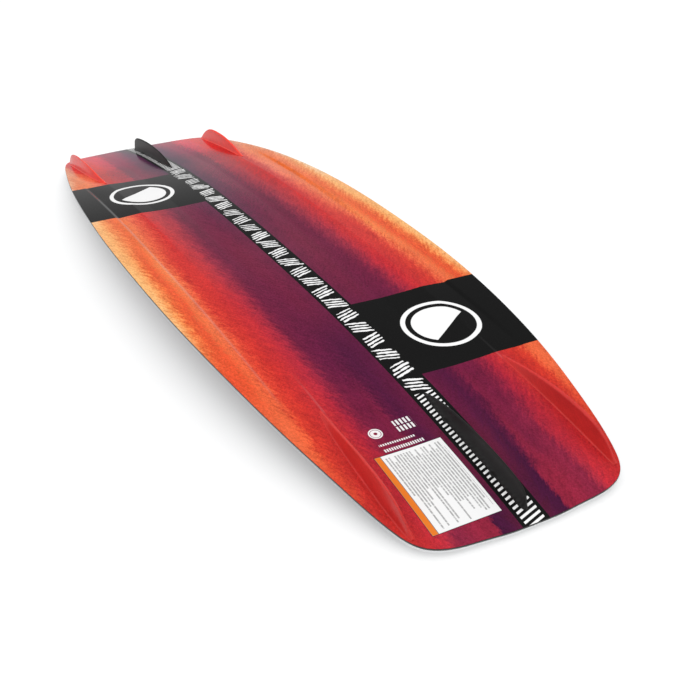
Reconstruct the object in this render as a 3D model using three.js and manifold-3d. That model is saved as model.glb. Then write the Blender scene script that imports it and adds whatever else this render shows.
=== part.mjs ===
// Wakeboard, bindings off, lying base up on its two tips.
// Millimetres. X runs along the board, Y across it, +Z up (the base faces +Z, the deck faces -Z).
// The origin is the middle of the footprint on the ground plane.
import * as THREE from 'three';
import { mergeVertices } from 'three/addons/utils/BufferGeometryUtils.js';
import Module from 'manifold-3d';

const wasm = await Module();
wasm.setup();

// ---------------------------------------------------------------- driving dimensions
const HALF_LENGTH = 625;            // tip to centre
const HALF_WIDTH = 203;             // at the waist
const ROCKER = 52.65;               // drop of the base edge from centre to tip
const ROCKER_POWER = 2.55;
const THICK_CENTRE = 26;            // base to deck on the centre line, amidships
const THICK_TIP = 9;
const RAIL_THINNING = 0.22;         // how much thinner the rail is than the middle
const LIP = 5;                      // height of the upright edge under the base, with the base sheet
const BEVEL_MID = 20;               // inward run of the rail bevel amidships
const BEVEL_TIP = 8;                // and at the tips
const GAP = 0.3;                    // bond line / clearance between pieces
const BASE_SHEET = 0.9;
const LAMINATE = 1.0;
const TOP_SHEET = 0.7;
const TOP_LAMINATE = 0.9;
const RAIL_LAND = 2.5;              // width of the rail's own land beside the deck sheet
const RAIL_SEAT = 8;                // bevel top to core
const CORE_TOP = BASE_SHEET + LAMINATE + 2 * GAP;            // depth of the core under the base
const CORE_BOTTOM = TOP_SHEET + TOP_LAMINATE + 2 * GAP;      // depth of the core under the deck

// hull relief across the base: distance from the centre line, height over the rail edge
const RELIEF = [[0, -1.3], [60, -2.5], [98, -1.4], [119, 0], [155, -1.9], [165, 0.3], [203, 0]];

// outline, one quadrant: [along, half width]
const OUTLINE = [[0.00, 203.00], [50.00, 202.77], [100.00, 201.91], [149.97, 200.18], [199.91, 197.41],
  [249.78, 193.64], [299.54, 188.97], [349.19, 183.35], [398.74, 176.43], [448.18, 167.94],
  [497.15, 158.35], [516.50, 154.37], [535.83, 150.08], [555.28, 145.17], [575.01, 139.29],
  [584.77, 135.71], [593.90, 131.26], [601.93, 125.55], [608.40, 118.21], [613.18, 109.39],
  [616.55, 99.74], [618.76, 89.86], [620.15, 79.95], [621.07, 70.02], [621.88, 60.07],
  [622.84, 50.12], [623.82, 40.16], [624.62, 30.14], [624.95, 20.10], [625.00, 10.05], [625.00, 0.00]];
const CORNER = 18;                  // outline point in the middle of the corner
const TIP_START = 400;              // the straight cross stations end here
const MID_STATIONS = [-400, -310, -230, -150, -75, 0, 75, 150, 230, 310, 400];
const TIP_STEPS = [0.24, 0.46, 0.66, 0.84, 1];
const LINES = [-1, -0.92, -0.69, -0.35, 0, 0.35, 0.69, 0.92, 1];  // share of the core's half width

// binding pads and inserts
const PAD_X = 230;                  // middle of each pad
const PAD_HALF = 80;
const PAD_Z = -28.3;                // deck height at the middle of the pad
const PAD_SLOPE = -0.0265;
const ROW = 76.2;                   // half of the 152.4 mm row spacing
const PITCH = 25.4;
const PER_ROW = 6;
const INSERT_R = 4.5, INSERT_BORE = 2.5, INSERT_LEN = 13, FLANGE_R = 8.5, FLANGE_T = 1.5;

// centre fins and their fasteners
const FIN_MID = 505;
const FIN_SCREWS = [460, 552];
const FIN_PROFILE = [[408, 0.6], [418, 4.5], [440, 10.8], [465, 16.2], [490, 19.4], [515, 21.8],
  [540, 23.2], [565, 23.8], [585, 23.2], [597, 20.6], [604, 14], [607.5, 3]];
const FIN_ROOT = 3.5, FIN_CREST = 1.1;
const BOSS_R = 5, BOSS_LEN = 6, BOSS_HOLE = 5.5;
const FERRULE_R = 5, FERRULE_BORE = 2.9, FERRULE_FLANGE = 7, WASHER_R = 6, SCREW_R = 2.4, HEAD_R = 4.6;

// side fins: [along, inner root, inner crest, outer crest, outer facet, outer root, height]
const SIDE_FIN = [
  [388, 120.2, 121.0, 122.0, 122.8, 123.6, 0.5],
  [412, 119.8, 122.2, 124.6, 126.4, 127.4, 5.0],
  [450, 120.2, 124.0, 127.2, 129.4, 130.8, 12.4],
  [500, 121.2, 125.2, 128.8, 131.0, 132.2, 19.4],
  [540, 122.0, 125.8, 129.2, 131.2, 132.2, 21.8],
  [556, 122.4, 126.0, 129.0, 131.0, 131.8, 20.6],
  [569, 122.8, 126.0, 128.6, 130.2, 131.2, 17.0],
  [580, 123.2, 125.8, 128.0, 129.4, 130.2, 11.5],
  [588, 123.6, 125.4, 127.2, 128.4, 129.2, 5.5],
  [594, 124.2, 125.2, 126.4, 127.4, 128.0, 0.8]];

// ---------------------------------------------------------------- shape of the board
const clamp = (v, a, b) => Math.min(b, Math.max(a, v));
const smooth = (a, b, v) => { const t = clamp((v - a) / (b - a), 0, 1); return t * t * (3 - 2 * t); };
const rocker = (x) => -ROCKER * Math.pow(Math.abs(x) / HALF_LENGTH, ROCKER_POWER);

function along(table, v) {
  let i = 1;
  while (i < table.length - 1 && table[i][0] < v) i++;
  const [a, b] = [table[i - 1], table[i]];
  return a[1] + (b[1] - a[1]) * clamp((v - a[0]) / (b[0] - a[0]), 0, 1);
}
const halfWidth = (x) => along(OUTLINE.slice(0, CORNER + 1), Math.abs(x));

function baseZ(x, y) {
  const u = Math.abs(x), v = Math.abs(y);
  let r = along(RELIEF, v);
  if (v > 119) r *= 1 - smooth(310, 430, u);
  else r *= 1 - smooth(430, 600, u);
  return rocker(x) + r;
}
function thickness(x, y) {
  const t = THICK_TIP + (THICK_CENTRE - THICK_TIP) * (1 - (x / HALF_LENGTH) ** 2);
  const v = clamp((Math.abs(y) - 118) / (HALF_WIDTH - 118), 0, 1);
  const share = RAIL_THINNING * (1 - smooth(380, 600, Math.abs(x)));
  return t * (1 - share * v * v);
}
function deckZ(x, y) {
  const u = Math.abs(x);
  if (u > PAD_X - PAD_HALF - 1 && u < PAD_X + PAD_HALF + 1 && Math.abs(y) < 122) {
    return PAD_Z + PAD_SLOPE * (u - PAD_X);
  }
  return rocker(x) - thickness(x, y);
}
const bevel = (x) => BEVEL_TIP + (BEVEL_MID - BEVEL_TIP) * (1 - (x / HALF_LENGTH) ** 2);

// a point on the outline between two table points, by arc length share
function outlinePath(from, to) {
  const pts = OUTLINE.slice(from, to + 1).map(([x, y]) => new THREE.Vector2(x, y));
  const len = [0];
  for (let i = 1; i < pts.length; i++) len.push(len[i - 1] + pts[i].distanceTo(pts[i - 1]));
  return (s) => {
    const d = clamp(s, 0, 1) * len[len.length - 1];
    let i = 1;
    while (i < pts.length - 1 && len[i] < d) i++;
    const t = (d - len[i - 1]) / (len[i] - len[i - 1]);
    const p = pts[i - 1].clone().lerp(pts[i], t);
    const a = pts[Math.max(0, i - 2)], b = pts[Math.min(pts.length - 1, i + 1)];
    const dir = b.clone().sub(a).normalize();
    return { p, n: new THREE.Vector2(dir.y, -dir.x) };   // n points into the board
  };
}
const sideStart = OUTLINE.findIndex(([x]) => x > TIP_START) - 1;
const sidePath = outlinePath(sideStart, CORNER);
const endPath = outlinePath(CORNER, OUTLINE.length - 1);

// outline stations on the quadrant x > 0, y > 0
function sideStation(s) {
  if (s === 0) return { p: new THREE.Vector2(TIP_START, halfWidth(TIP_START)), n: new THREE.Vector2(0, -1) };
  const first = (TIP_START - OUTLINE[sideStart][0]) / (OUTLINE[CORNER][0] - OUTLINE[sideStart][0]);
  const r = sidePath(first + (1 - first) * s);
  return { p: r.p, n: r.n.lerp(new THREE.Vector2(0, -1), clamp(0.3 - s, 0, 1)).normalize() };
}
function endStation(t) {           // t = 0 on the centre line, 1 at the corner
  const r = endPath(1 - t);
  if (t === 0) { r.p.set(HALF_LENGTH, 0); r.n.set(-1, 0); }
  return r;
}
const inset = (x) => bevel(x) + RAIL_SEAT + GAP;
const move = (st, d) => st.p.clone().addScaledVector(st.n, d);
const mirror = (st, sx, sy) => ({ p: new THREE.Vector2(st.p.x * sx, st.p.y * sy), n: new THREE.Vector2(st.n.x * sx, st.n.y * sy) });

// plan grid of the core, with the outline station of every boundary vertex
const grid = [];                   // rows along x, columns across y
const stations = [];               // same layout, only on the boundary
function tipRow(sign, s) {
  const row = [], rim = [];
  const y0 = halfWidth(TIP_START) - inset(TIP_START);
  const sideS = sideStation(s);
  const side = move(sideS, inset(sideS.p.x));
  const corner = move(sideStation(1), inset(OUTLINE[CORNER][0]));
  for (const v of LINES) {
    const a = Math.abs(v);
    const e = endStation(a);
    const end = move(e, inset(e.p.x));
    if (a === 1) end.copy(corner);
    const A = new THREE.Vector2(TIP_START, y0 * a);
    const B = end;
    const t = a;                   // half of a Coons patch: centre line to side
    const C0 = new THREE.Vector2(TIP_START + (HALF_LENGTH - inset(HALF_LENGTH) - TIP_START) * s, 0);
    const p00 = new THREE.Vector2(TIP_START, 0), p01 = new THREE.Vector2(TIP_START, y0);
    const p10 = new THREE.Vector2(HALF_LENGTH - inset(HALF_LENGTH), 0), p11 = corner;
    const x = (1 - s) * A.x + s * B.x + (1 - t) * C0.x + t * side.x
      - ((1 - s) * (1 - t) * p00.x + (1 - s) * t * p01.x + s * (1 - t) * p10.x + s * t * p11.x);
    const y = (1 - s) * A.y + s * B.y + (1 - t) * C0.y + t * side.y
      - ((1 - s) * (1 - t) * p00.y + (1 - s) * t * p01.y + s * (1 - t) * p10.y + s * t * p11.y);
    row.push(new THREE.Vector2(sign * x, Math.sign(v) * y));
    let st = null;
    if (a === 1) st = sideS; else if (s === 1) st = e;
    rim.push(st ? mirror(st, sign, v < 0 ? -1 : 1) : null);
  }
  return [row, rim];
}
for (const s of [...TIP_STEPS].reverse()) { const [r, m] = tipRow(-1, s); grid.push(r); stations.push(m); }
for (const x of MID_STATIONS) {
  const w = halfWidth(x);
  const yc = w - inset(x);
  grid.push(LINES.map((v) => new THREE.Vector2(x, v * yc)));
  stations.push(LINES.map((v) => (Math.abs(v) === 1 ? { p: new THREE.Vector2(x, v * w), n: new THREE.Vector2(0, -v) } : null)));
}
for (const s of TIP_STEPS) { const [r, m] = tipRow(1, s); grid.push(r); stations.push(m); }
const NX = grid.length, NY = LINES.length;

// boundary loop, counter-clockwise seen from +Z, starting on the -x tip's centre line going to -y
const loop = [];
{
  const mid = (NY - 1) / 2;
  for (let j = mid; j > 0; j--) loop.push([0, j]);
  for (let i = 0; i < NX - 1; i++) loop.push([i, 0]);
  for (let j = 0; j < NY - 1; j++) loop.push([NX - 1, j]);
  for (let i = NX - 1; i > 0; i--) loop.push([i, NY - 1]);
  for (let j = NY - 1; j > mid; j--) loop.push([0, j]);
}

// ---------------------------------------------------------------- solids
function toManifold(positions, triangles) {
  let g = new THREE.BufferGeometry();
  g.setAttribute('position', new THREE.Float32BufferAttribute(positions, 3));
  if (triangles) g.setIndex(triangles);
  g = mergeVertices(g, 1e-4);
  return new wasm.Manifold(new wasm.Mesh({
    numProp: 3,
    vertProperties: Float32Array.from(g.attributes.position.array),
    triVerts: Uint32Array.from(g.index.array),
  }));
}
function geometryToManifold(geometry, matrix) {
  let g = geometry.clone();
  g.deleteAttribute('normal'); g.deleteAttribute('uv');
  if (matrix) g.applyMatrix4(matrix);
  g = mergeVertices(g, 1e-4);
  return new wasm.Manifold(new wasm.Mesh({
    numProp: 3,
    vertProperties: Float32Array.from(g.attributes.position.array),
    triVerts: Uint32Array.from(g.index.array),
  }));
}
function fromManifold(m) {
  const out = m.getMesh();
  const g = new THREE.BufferGeometry();
  g.setAttribute('position', new THREE.BufferAttribute(Float32Array.from(out.vertProperties), 3));
  g.setIndex(new THREE.BufferAttribute(Uint32Array.from(out.triVerts), 1));
  g.computeVertexNormals();
  return g;
}

// a sheet over the core grid, with an outer band out to depth(x) inside the outline
function sheet(topZ, bottomZ, bandDepth) {
  const plan = [], tris = [];
  const id = (i, j) => i * NY + j;
  for (const row of grid) for (const p of row) plan.push(p);
  for (let i = 0; i < NX - 1; i++) for (let j = 0; j < NY - 1; j++) {
    const a = id(i, j), b = id(i + 1, j), c = id(i + 1, j + 1), d = id(i, j + 1);
    const flip = (i >= (NX - 1) / 2) !== (j >= (NY - 1) / 2);
    if (flip) tris.push([a, b, d], [b, c, d]); else tris.push([a, b, c], [a, c, d]);
  }
  let rim = loop.map(([i, j]) => id(i, j));
  if (bandDepth) {
    const outer = loop.map(([i, j]) => {
      const st = stations[i][j];
      plan.push(move(st, bandDepth(st.p.x)));
      return plan.length - 1;
    });
    for (let k = 0; k < rim.length; k++) {
      const k2 = (k + 1) % rim.length;
      tris.push([outer[k], outer[k2], rim[k2]], [outer[k], rim[k2], rim[k]]);
    }
    rim = outer;
  }
  const n = plan.length, pos = [], index = [];
  for (const p of plan) pos.push(p.x, p.y, topZ(p.x, p.y));
  for (const p of plan) pos.push(p.x, p.y, bottomZ(p.x, p.y));
  for (const [a, b, c] of tris) { index.push(a, b, c); index.push(n + a, n + c, n + b); }
  for (let k = 0; k < rim.length; k++) {
    const a = rim[k], b = rim[(k + 1) % rim.length];
    index.push(a, n + a, n + b, a, n + b, b);
  }
  return toManifold(pos, index);
}

// one half of the rail, swept round the outline from tip to tip
function rail(side) {
  const ring = loop.map(([i, j]) => stations[i][j]);
  const half = ring.filter((st) => (side < 0 ? st.p.y < 1e-6 : st.p.y > -1e-6));
  half.sort((a, b) => Math.atan2(Math.abs(a.p.y), a.p.x) - Math.atan2(Math.abs(b.p.y), b.p.x));
  const pos = [], index = [];
  const cut = 0.15;
  const profile = (st) => {
    const b = bevel(st.p.x);
    const at = (d) => move(st, d);
    const land = at(b + RAIL_LAND), seat = at(b + RAIL_SEAT), top = at(b), rim = at(0);
    return [
      [rim, baseZ(rim.x, rim.y) - CORE_TOP],
      [rim, baseZ(rim.x, rim.y) - LIP],
      [top, deckZ(top.x, top.y)],
      [land, deckZ(land.x, land.y)],
      [land, deckZ(land.x, land.y) + CORE_BOTTOM + 0.2],
      [seat, deckZ(seat.x, seat.y) + CORE_BOTTOM + 0.2],
      [seat, baseZ(seat.x, seat.y) - CORE_TOP],
    ];
  };
  const M = 7;
  for (const st of half) {
    for (const [p, z] of profile(st)) {
      let y = p.y;
      if (Math.abs(st.p.y) < 1e-6) y = side * cut;
      pos.push(p.x, y, z);
    }
  }
  const N = half.length;
  for (let k = 0; k < N - 1; k++) for (let m = 0; m < M; m++) {
    const m2 = (m + 1) % M;
    const a = k * M + m, b = k * M + m2, c = (k + 1) * M + m2, d = (k + 1) * M + m;
    if (side > 0) index.push(a, c, b, a, d, c); else index.push(a, b, c, a, c, d);
  }
  // end caps
  const shape = profile(half[0]).map(([p, z]) => new THREE.Vector2(p.x, z));
  const faces = THREE.ShapeUtils.triangulateShape(shape, []);
  const last = (N - 1) * M;
  const ccw = !THREE.ShapeUtils.isClockWise(shape);
  for (const [a, b, c] of faces) {
    if ((side > 0) === ccw) { index.push(a, b, c); index.push(last + a, last + c, last + b); }
    else { index.push(a, c, b); index.push(last + a, last + b, last + c); }
  }
  let m = toManifold(pos, index);
  if (m.volume() < 0) m = toManifold(pos, index.map((v, q) => index[q - (q % 3) + [0, 2, 1][q % 3]]));
  return m;
}

// a lofted solid through polygons with the same number of points
function loft(sections) {
  const M = sections[0].length, pos = [], index = [];
  for (const s of sections) for (const p of s) pos.push(p.x, p.y, p.z);
  for (let k = 0; k < sections.length - 1; k++) for (let m = 0; m < M; m++) {
    const m2 = (m + 1) % M;
    const a = k * M + m, b = k * M + m2, c = (k + 1) * M + m2, d = (k + 1) * M + m;
    index.push(a, b, c, a, c, d);
  }
  const last = (sections.length - 1) * M;
  for (let m = 1; m < M - 1; m++) { index.push(0, m + 1, m); index.push(last, last + m, last + m + 1); }
  let r = toManifold(pos, index);
  if (r.volume() < 0) r = toManifold(pos, index.map((v, q) => index[q - (q % 3) + [0, 2, 1][q % 3]]));
  return r;
}

function turned(profile, segments) {
  const g = new THREE.LatheGeometry(profile.map(([r, z]) => new THREE.Vector2(r, z)), segments);
  g.rotateX(Math.PI / 2);          // the axis becomes Z
  let m = geometryToManifold(g);
  if (m.volume() < 0) {
    g.index.array.reverse();
    m = geometryToManifold(g);
  }
  return m;
}
function rod(radius, z0, z1, segments, matrix) {
  const g = new THREE.CylinderGeometry(radius, radius, z1 - z0, segments);
  g.rotateX(Math.PI / 2);
  g.translate(0, 0, (z0 + z1) / 2);
  return geometryToManifold(g, matrix);
}

// ---------------------------------------------------------------- frames for the fasteners
// a frame with +Z pointing out of the deck at a binding insert
const padTilt = Math.atan(PAD_SLOPE);
function insertFrame(end, row, k) {
  const u = PAD_X + (k - (PER_ROW - 1) / 2) * PITCH;
  const z = PAD_Z + PAD_SLOPE * (u - PAD_X);
  const n = new THREE.Vector3(end * Math.sin(-padTilt) * -1, 0, -Math.cos(padTilt)).normalize();
  // deck surface: z = PAD_Z + PAD_SLOPE (|x| - PAD_X); its outward normal points down
  n.set(end * PAD_SLOPE, 0, -1).normalize();
  const q = new THREE.Quaternion().setFromUnitVectors(new THREE.Vector3(0, 0, 1), n);
  return new THREE.Matrix4().compose(new THREE.Vector3(end * u, row * ROW, z), q, new THREE.Vector3(1, 1, 1));
}
// a frame with +Z pointing up out of the base, square to the centre fin's root
const slopeAt = (x) => (rocker(x + 1) - rocker(x - 1)) / 2;
const finTilt = Math.atan(slopeAt(FIN_MID));
function finFrame(end, u) {
  const n = new THREE.Vector3(-end * Math.sin(finTilt) * 1, 0, Math.cos(finTilt));
  const q = new THREE.Quaternion().setFromUnitVectors(new THREE.Vector3(0, 0, 1), n);
  return new THREE.Matrix4().compose(new THREE.Vector3(end * u, 0, baseZ(u, 0)), q, new THREE.Vector3(1, 1, 1));
}
// thickness of the board along that frame's axis
function boardDepth(u) {
  let t = 0;
  for (let k = 0; k < 40; k++) {
    const x = u + Math.sin(finTilt) * t * 1;
    t = (baseZ(u, 0) - deckZ(x, 0)) / Math.cos(finTilt);
  }
  return t;
}

// ---------------------------------------------------------------- materials
const mat = (color, roughness, metalness = 0) => new THREE.MeshStandardMaterial({ color, roughness, metalness });
const group = new THREE.Group();
function add(name, manifold, material) {
  const mesh = new THREE.Mesh(fromManifold(manifold), material);
  mesh.name = name;
  group.add(mesh);
  return mesh;
}

// ---------------------------------------------------------------- the laminate
let core = sheet((x, y) => baseZ(x, y) - CORE_TOP, (x, y) => deckZ(x, y) + CORE_BOTTOM, null);
let bottomLaminate = sheet((x, y) => baseZ(x, y) - BASE_SHEET - GAP, (x, y) => baseZ(x, y) - BASE_SHEET - GAP - LAMINATE, () => 0);
let baseSheet = sheet((x, y) => baseZ(x, y), (x, y) => baseZ(x, y) - BASE_SHEET, () => 0);
const deckBand = (x) => bevel(x) + RAIL_LAND + GAP;
let topLaminate = sheet((x, y) => deckZ(x, y) + TOP_SHEET + GAP + TOP_LAMINATE, (x, y) => deckZ(x, y) + TOP_SHEET + GAP, deckBand);
let topSheet = sheet((x, y) => deckZ(x, y) + TOP_SHEET, (x, y) => deckZ(x, y), deckBand);

const mouths = [], pockets = [];
const insertAt = [];
for (const end of [-1, 1]) for (const row of [-1, 1]) for (let k = 0; k < PER_ROW; k++) {
  const m = insertFrame(end, row, k);
  insertAt.push({ end, row, k, m });
  mouths.push(rod(INSERT_R + 0.4, -CORE_BOTTOM - 1.2, 3, 8, m));
  pockets.push(rod(FLANGE_R + 0.4, -INSERT_LEN - 0.5, 0, 8, m));
}
const finHoles = [], washerHoles = [];
const finAt = [];
for (const end of [-1, 1]) FIN_SCREWS.forEach((u, k) => {
  const m = finFrame(end, u);
  const depth = boardDepth(u);
  finAt.push({ end, u, k, m, depth });
  finHoles.push(rod(BOSS_HOLE, -depth - 6, 4, 10, m));
  washerHoles.push(rod(FERRULE_FLANGE + 0.5, -depth - 6, -depth + CORE_BOTTOM + 1.4, 10, m));
});
const union = (list) => list.slice(1).reduce((a, b) => a.add(b), list[0]);
const mouthSet = union(mouths), pocketSet = union(pockets), finSet = union(finHoles), washerSet = union(washerHoles);
core = core.subtract(pocketSet).subtract(finSet).subtract(washerSet);
topLaminate = topLaminate.subtract(mouthSet).subtract(washerSet).subtract(finSet);
topSheet = topSheet.subtract(mouthSet).subtract(washerSet).subtract(finSet);
baseSheet = baseSheet.subtract(finSet);
bottomLaminate = bottomLaminate.subtract(finSet);

add('base_sheet', baseSheet, mat(0xb8303a, 0.18));
add('bottom_laminate', bottomLaminate, mat(0xd8dccb, 0.45));
add('core', core, mat(0xe9e2c6, 0.85));
add('sidewall_left', rail(-1), mat(0xdfe3e4, 0.35));
add('sidewall_right', rail(1), mat(0xdfe3e4, 0.35));
add('top_laminate', topLaminate, mat(0xd8dccb, 0.45));
add('top_sheet', topSheet, mat(0x26262a, 0.3));

// ---------------------------------------------------------------- binding inserts
for (const { end, row, k, m } of insertAt) {
  const body = turned([[0, -INSERT_LEN], [FLANGE_R, -INSERT_LEN], [FLANGE_R, -INSERT_LEN + FLANGE_T],
    [INSERT_R, -INSERT_LEN + FLANGE_T], [INSERT_R, -0.2], [INSERT_BORE, -0.2],
    [INSERT_BORE, -INSERT_LEN + 2], [0, -INSERT_LEN + 2]], 8).transform(m.toArray());
  const foot = end < 0 ? 'rear' : 'front';
  const line = row < 0 ? 'left' : 'right';
  add(`binding_insert_${foot}_${line}_${k + 1}`, body, mat(0xb9bcc0, 0.3, 1));
}

// ---------------------------------------------------------------- side fins
function sideFin(end, side) {
  const lift = GAP;
  const sections = SIDE_FIN.map(([u, ri, ci, co, fo, ro, h]) => {
    const p = (y, up) => new THREE.Vector3(end * u, side * y, baseZ(u, y) + lift + up);
    const flat = (y) => new THREE.Vector3(end * u, side * y, Math.max(baseZ(u, ri), baseZ(u, ro)) + lift);
    return [flat(ri), p(ci, h * 0.93), p(co, h), p(fo, h * 0.42), flat(ro)];
  });
  return loft(sections);
}
for (const end of [-1, 1]) for (const side of [-1, 1]) {
  const name = `side_fin_${end < 0 ? 'rear' : 'front'}_${side < 0 ? 'left' : 'right'}`;
  add(name, sideFin(end, side), mat(0xb5262c, 0.25));
}

// ---------------------------------------------------------------- centre fins
function centreFin(end) {
  const sections = FIN_PROFILE.map(([u, h]) => {
    const root = clamp(0.8 + 2.7 * Math.min(h / 12, (609 - u) / 9), 0.8, FIN_ROOT);
    const crest = clamp(root * 0.4, 0.5, FIN_CREST);
    const z = baseZ(u, 0) + GAP;
    const p = (y, up) => new THREE.Vector3(end * u, y, z + up);
    return [p(-root, 0), p(root, 0), p(crest + (root - crest) * 0.35, h * 0.6), p(crest, h * 0.94), p(0, h), p(-crest, h * 0.94), p(-crest - (root - crest) * 0.35, h * 0.6)];
  });
  let fin = loft(sections);
  for (const f of finAt.filter((q) => q.end === end)) {
    const boss = rod(BOSS_R, -BOSS_LEN, 1.2, 10, f.m).add(rod(BOSS_R + 1.6, GAP + 0.25, 1.2, 10, f.m));
    fin = fin.add(boss);
  }
  for (const f of finAt.filter((q) => q.end === end)) {
    fin = fin.subtract(rod(3.5, -BOSS_LEN - 1, -0.2, 8, f.m));
  }
  return fin;
}
for (const end of [-1, 1]) add(`centre_fin_${end < 0 ? 'rear' : 'front'}`, centreFin(end), mat(0x2b2b2d, 0.4));

// ---------------------------------------------------------------- fin fasteners
for (const { end, k, m, depth } of finAt) {
  const tag = `${end < 0 ? 'rear' : 'front'}_${k + 1}`;
  const insert = turned([[1.9, -BOSS_LEN], [3.1, -BOSS_LEN], [3.1, -0.6], [1.9, -0.6], [1.9, -BOSS_LEN]], 8);
  const bottom = -depth + CORE_BOTTOM - 0.2;       // deck side of the ferrule's flange
  const ferrule = turned([[FERRULE_BORE, bottom], [FERRULE_FLANGE, bottom], [FERRULE_FLANGE, bottom + 1.2],
    [FERRULE_R, bottom + 1.2], [FERRULE_R, -BOSS_LEN - 0.35], [FERRULE_BORE, -BOSS_LEN - 0.35], [FERRULE_BORE, bottom]], 10);
  const wz = bottom - 0.3;
  const washer = turned([[FERRULE_BORE, wz - 1], [WASHER_R, wz - 1], [WASHER_R, wz], [FERRULE_BORE, wz], [FERRULE_BORE, wz - 1]], 10);
  const hz = wz - 1 - 0.3;
  const screw = turned([[0, hz - 2.6], [HEAD_R - 1.6, hz - 2.6], [HEAD_R, hz - 1.2], [HEAD_R, hz],
    [SCREW_R, hz], [SCREW_R, -BOSS_LEN - 0.6], [1.55, -BOSS_LEN - 0.2], [1.55, -0.9], [0, -0.9]], 8);
  const M = m.toArray();
  add(`fin_insert_${tag}`, insert.transform(M), mat(0xb08d4a, 0.35, 1));
  add(`fin_ferrule_${tag}`, ferrule.transform(M), mat(0x3a3a3c, 0.5));
  add(`fin_washer_${tag}`, washer.transform(M), mat(0xb9bcc0, 0.3, 1));
  add(`fin_screw_${tag}`, screw.transform(M), mat(0xa9acb0, 0.3, 1));
}

// ---------------------------------------------------------------- stand it on the ground plane
group.updateMatrixWorld(true);
const box = new THREE.Box3().setFromObject(group, true);
group.position.z = -box.min.z;

export default group;
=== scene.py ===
import math

import bmesh
import bpy
import numpy as np
from mathutils import Matrix, Vector


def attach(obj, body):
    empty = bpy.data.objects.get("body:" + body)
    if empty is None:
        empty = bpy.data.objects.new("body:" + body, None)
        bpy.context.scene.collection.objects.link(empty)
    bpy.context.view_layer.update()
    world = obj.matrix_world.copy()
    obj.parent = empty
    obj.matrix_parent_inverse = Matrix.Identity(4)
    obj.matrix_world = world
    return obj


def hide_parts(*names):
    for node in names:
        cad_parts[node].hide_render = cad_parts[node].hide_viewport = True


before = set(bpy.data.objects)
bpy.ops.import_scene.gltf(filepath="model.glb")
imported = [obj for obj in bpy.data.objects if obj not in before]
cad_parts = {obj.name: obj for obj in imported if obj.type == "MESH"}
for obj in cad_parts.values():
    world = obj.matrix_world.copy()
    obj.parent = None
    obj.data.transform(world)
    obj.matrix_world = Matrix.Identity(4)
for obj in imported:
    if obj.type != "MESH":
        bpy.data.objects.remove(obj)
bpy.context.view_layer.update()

# ------------------------------------------------------------------ dimensions, mm, the same as the CAD's
SHIFT = 60.3809                      # height of the base's middle over the ground
HALF_LENGTH, HALF_WIDTH = 625.0, 203.0
OUTLINE = np.array([
    [0.00, 203.00], [50.00, 202.77], [100.00, 201.91], [149.97, 200.18], [199.91, 197.41],
    [249.78, 193.64], [299.54, 188.97], [349.19, 183.35], [398.74, 176.43], [448.18, 167.94],
    [497.15, 158.35], [516.50, 154.37], [535.83, 150.08], [555.28, 145.17], [575.01, 139.29],
    [584.77, 135.71], [593.90, 131.26], [601.93, 125.55], [608.40, 118.21], [613.18, 109.39],
    [616.55, 99.74], [618.76, 89.86], [620.15, 79.95], [621.07, 70.02], [621.88, 60.07],
    [622.84, 50.12], [623.82, 40.16], [624.62, 30.14], [624.95, 20.10], [625.00, 10.05], [625.00, 0.00]])
BASE_SHEET, LAMINATE, TOP_SHEET, GAP = 0.9, 1.0, 0.7, 0.3
CORE_TOP, CORE_BOTTOM = 2.5, 2.2
RAIL_LAND, RAIL_SEAT, LIP = 2.5, 8.0, 5.0
PAD_X, PAD_HALF, PAD_Z, PAD_SLOPE = 230.0, 80.0, -28.3, -0.0265
ROW, PITCH, PER_ROW = 76.2, 25.4, 6
FIN_MID, FIN_SCREWS = 505.0, (460.0, 552.0)


def smooth(a, b, v):
    t = np.clip((np.asarray(v, float) - a) / (b - a), 0, 1)
    return t * t * (3 - 2 * t)


def rocker(x):
    return -52.65 * (np.abs(x) / HALF_LENGTH) ** 2.55


# relief across the base, its creases eased over a couple of millimetres
_v = np.arange(-240, 240.01, 0.1)
_a = np.abs(_v)
_kernel = np.convolve(np.ones(11) / 11, np.ones(11) / 11)


def _eased(xs, zs, keep):
    z = np.interp(_a, xs, zs) * keep
    return np.convolve(np.pad(z, 30, mode="edge"), _kernel, "same")[30:-30]


_R_IN = _eased([0, 60, 98, 119], [-1.3, -2.5, -1.4, 0], _a <= 119)
_R_OUT = _eased([119, 154, 158.5, 203], [0, -1.9, 0.2, 0], _a > 119)


def base_z(x, y):
    u = np.abs(x)
    return (rocker(x) + np.interp(y, _v, _R_IN) * (1 - smooth(430, 600, u))
            + np.interp(y, _v, _R_OUT) * (1 - smooth(310, 430, u)))


def thickness(x, y):
    t = 9 + 17 * (1 - (np.asarray(x) / HALF_LENGTH) ** 2)
    v = np.clip((np.abs(y) - 118) / 85, 0, 1)
    return t * (1 - 0.22 * (1 - smooth(380, 600, np.abs(x))) * v * v)


def deck_z(x, y):
    u = np.abs(x)
    free = rocker(x) - thickness(x, y)
    pad = PAD_Z + PAD_SLOPE * (u - PAD_X)
    off = np.maximum(np.abs(u - PAD_X) - (PAD_HALF + 1), np.abs(y) - 122)
    return pad + (free - pad) * smooth(-0.2, 1.6, off)


def bevel(x):
    return 8 + 12 * (1 - (np.asarray(x) / HALF_LENGTH) ** 2)


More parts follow.
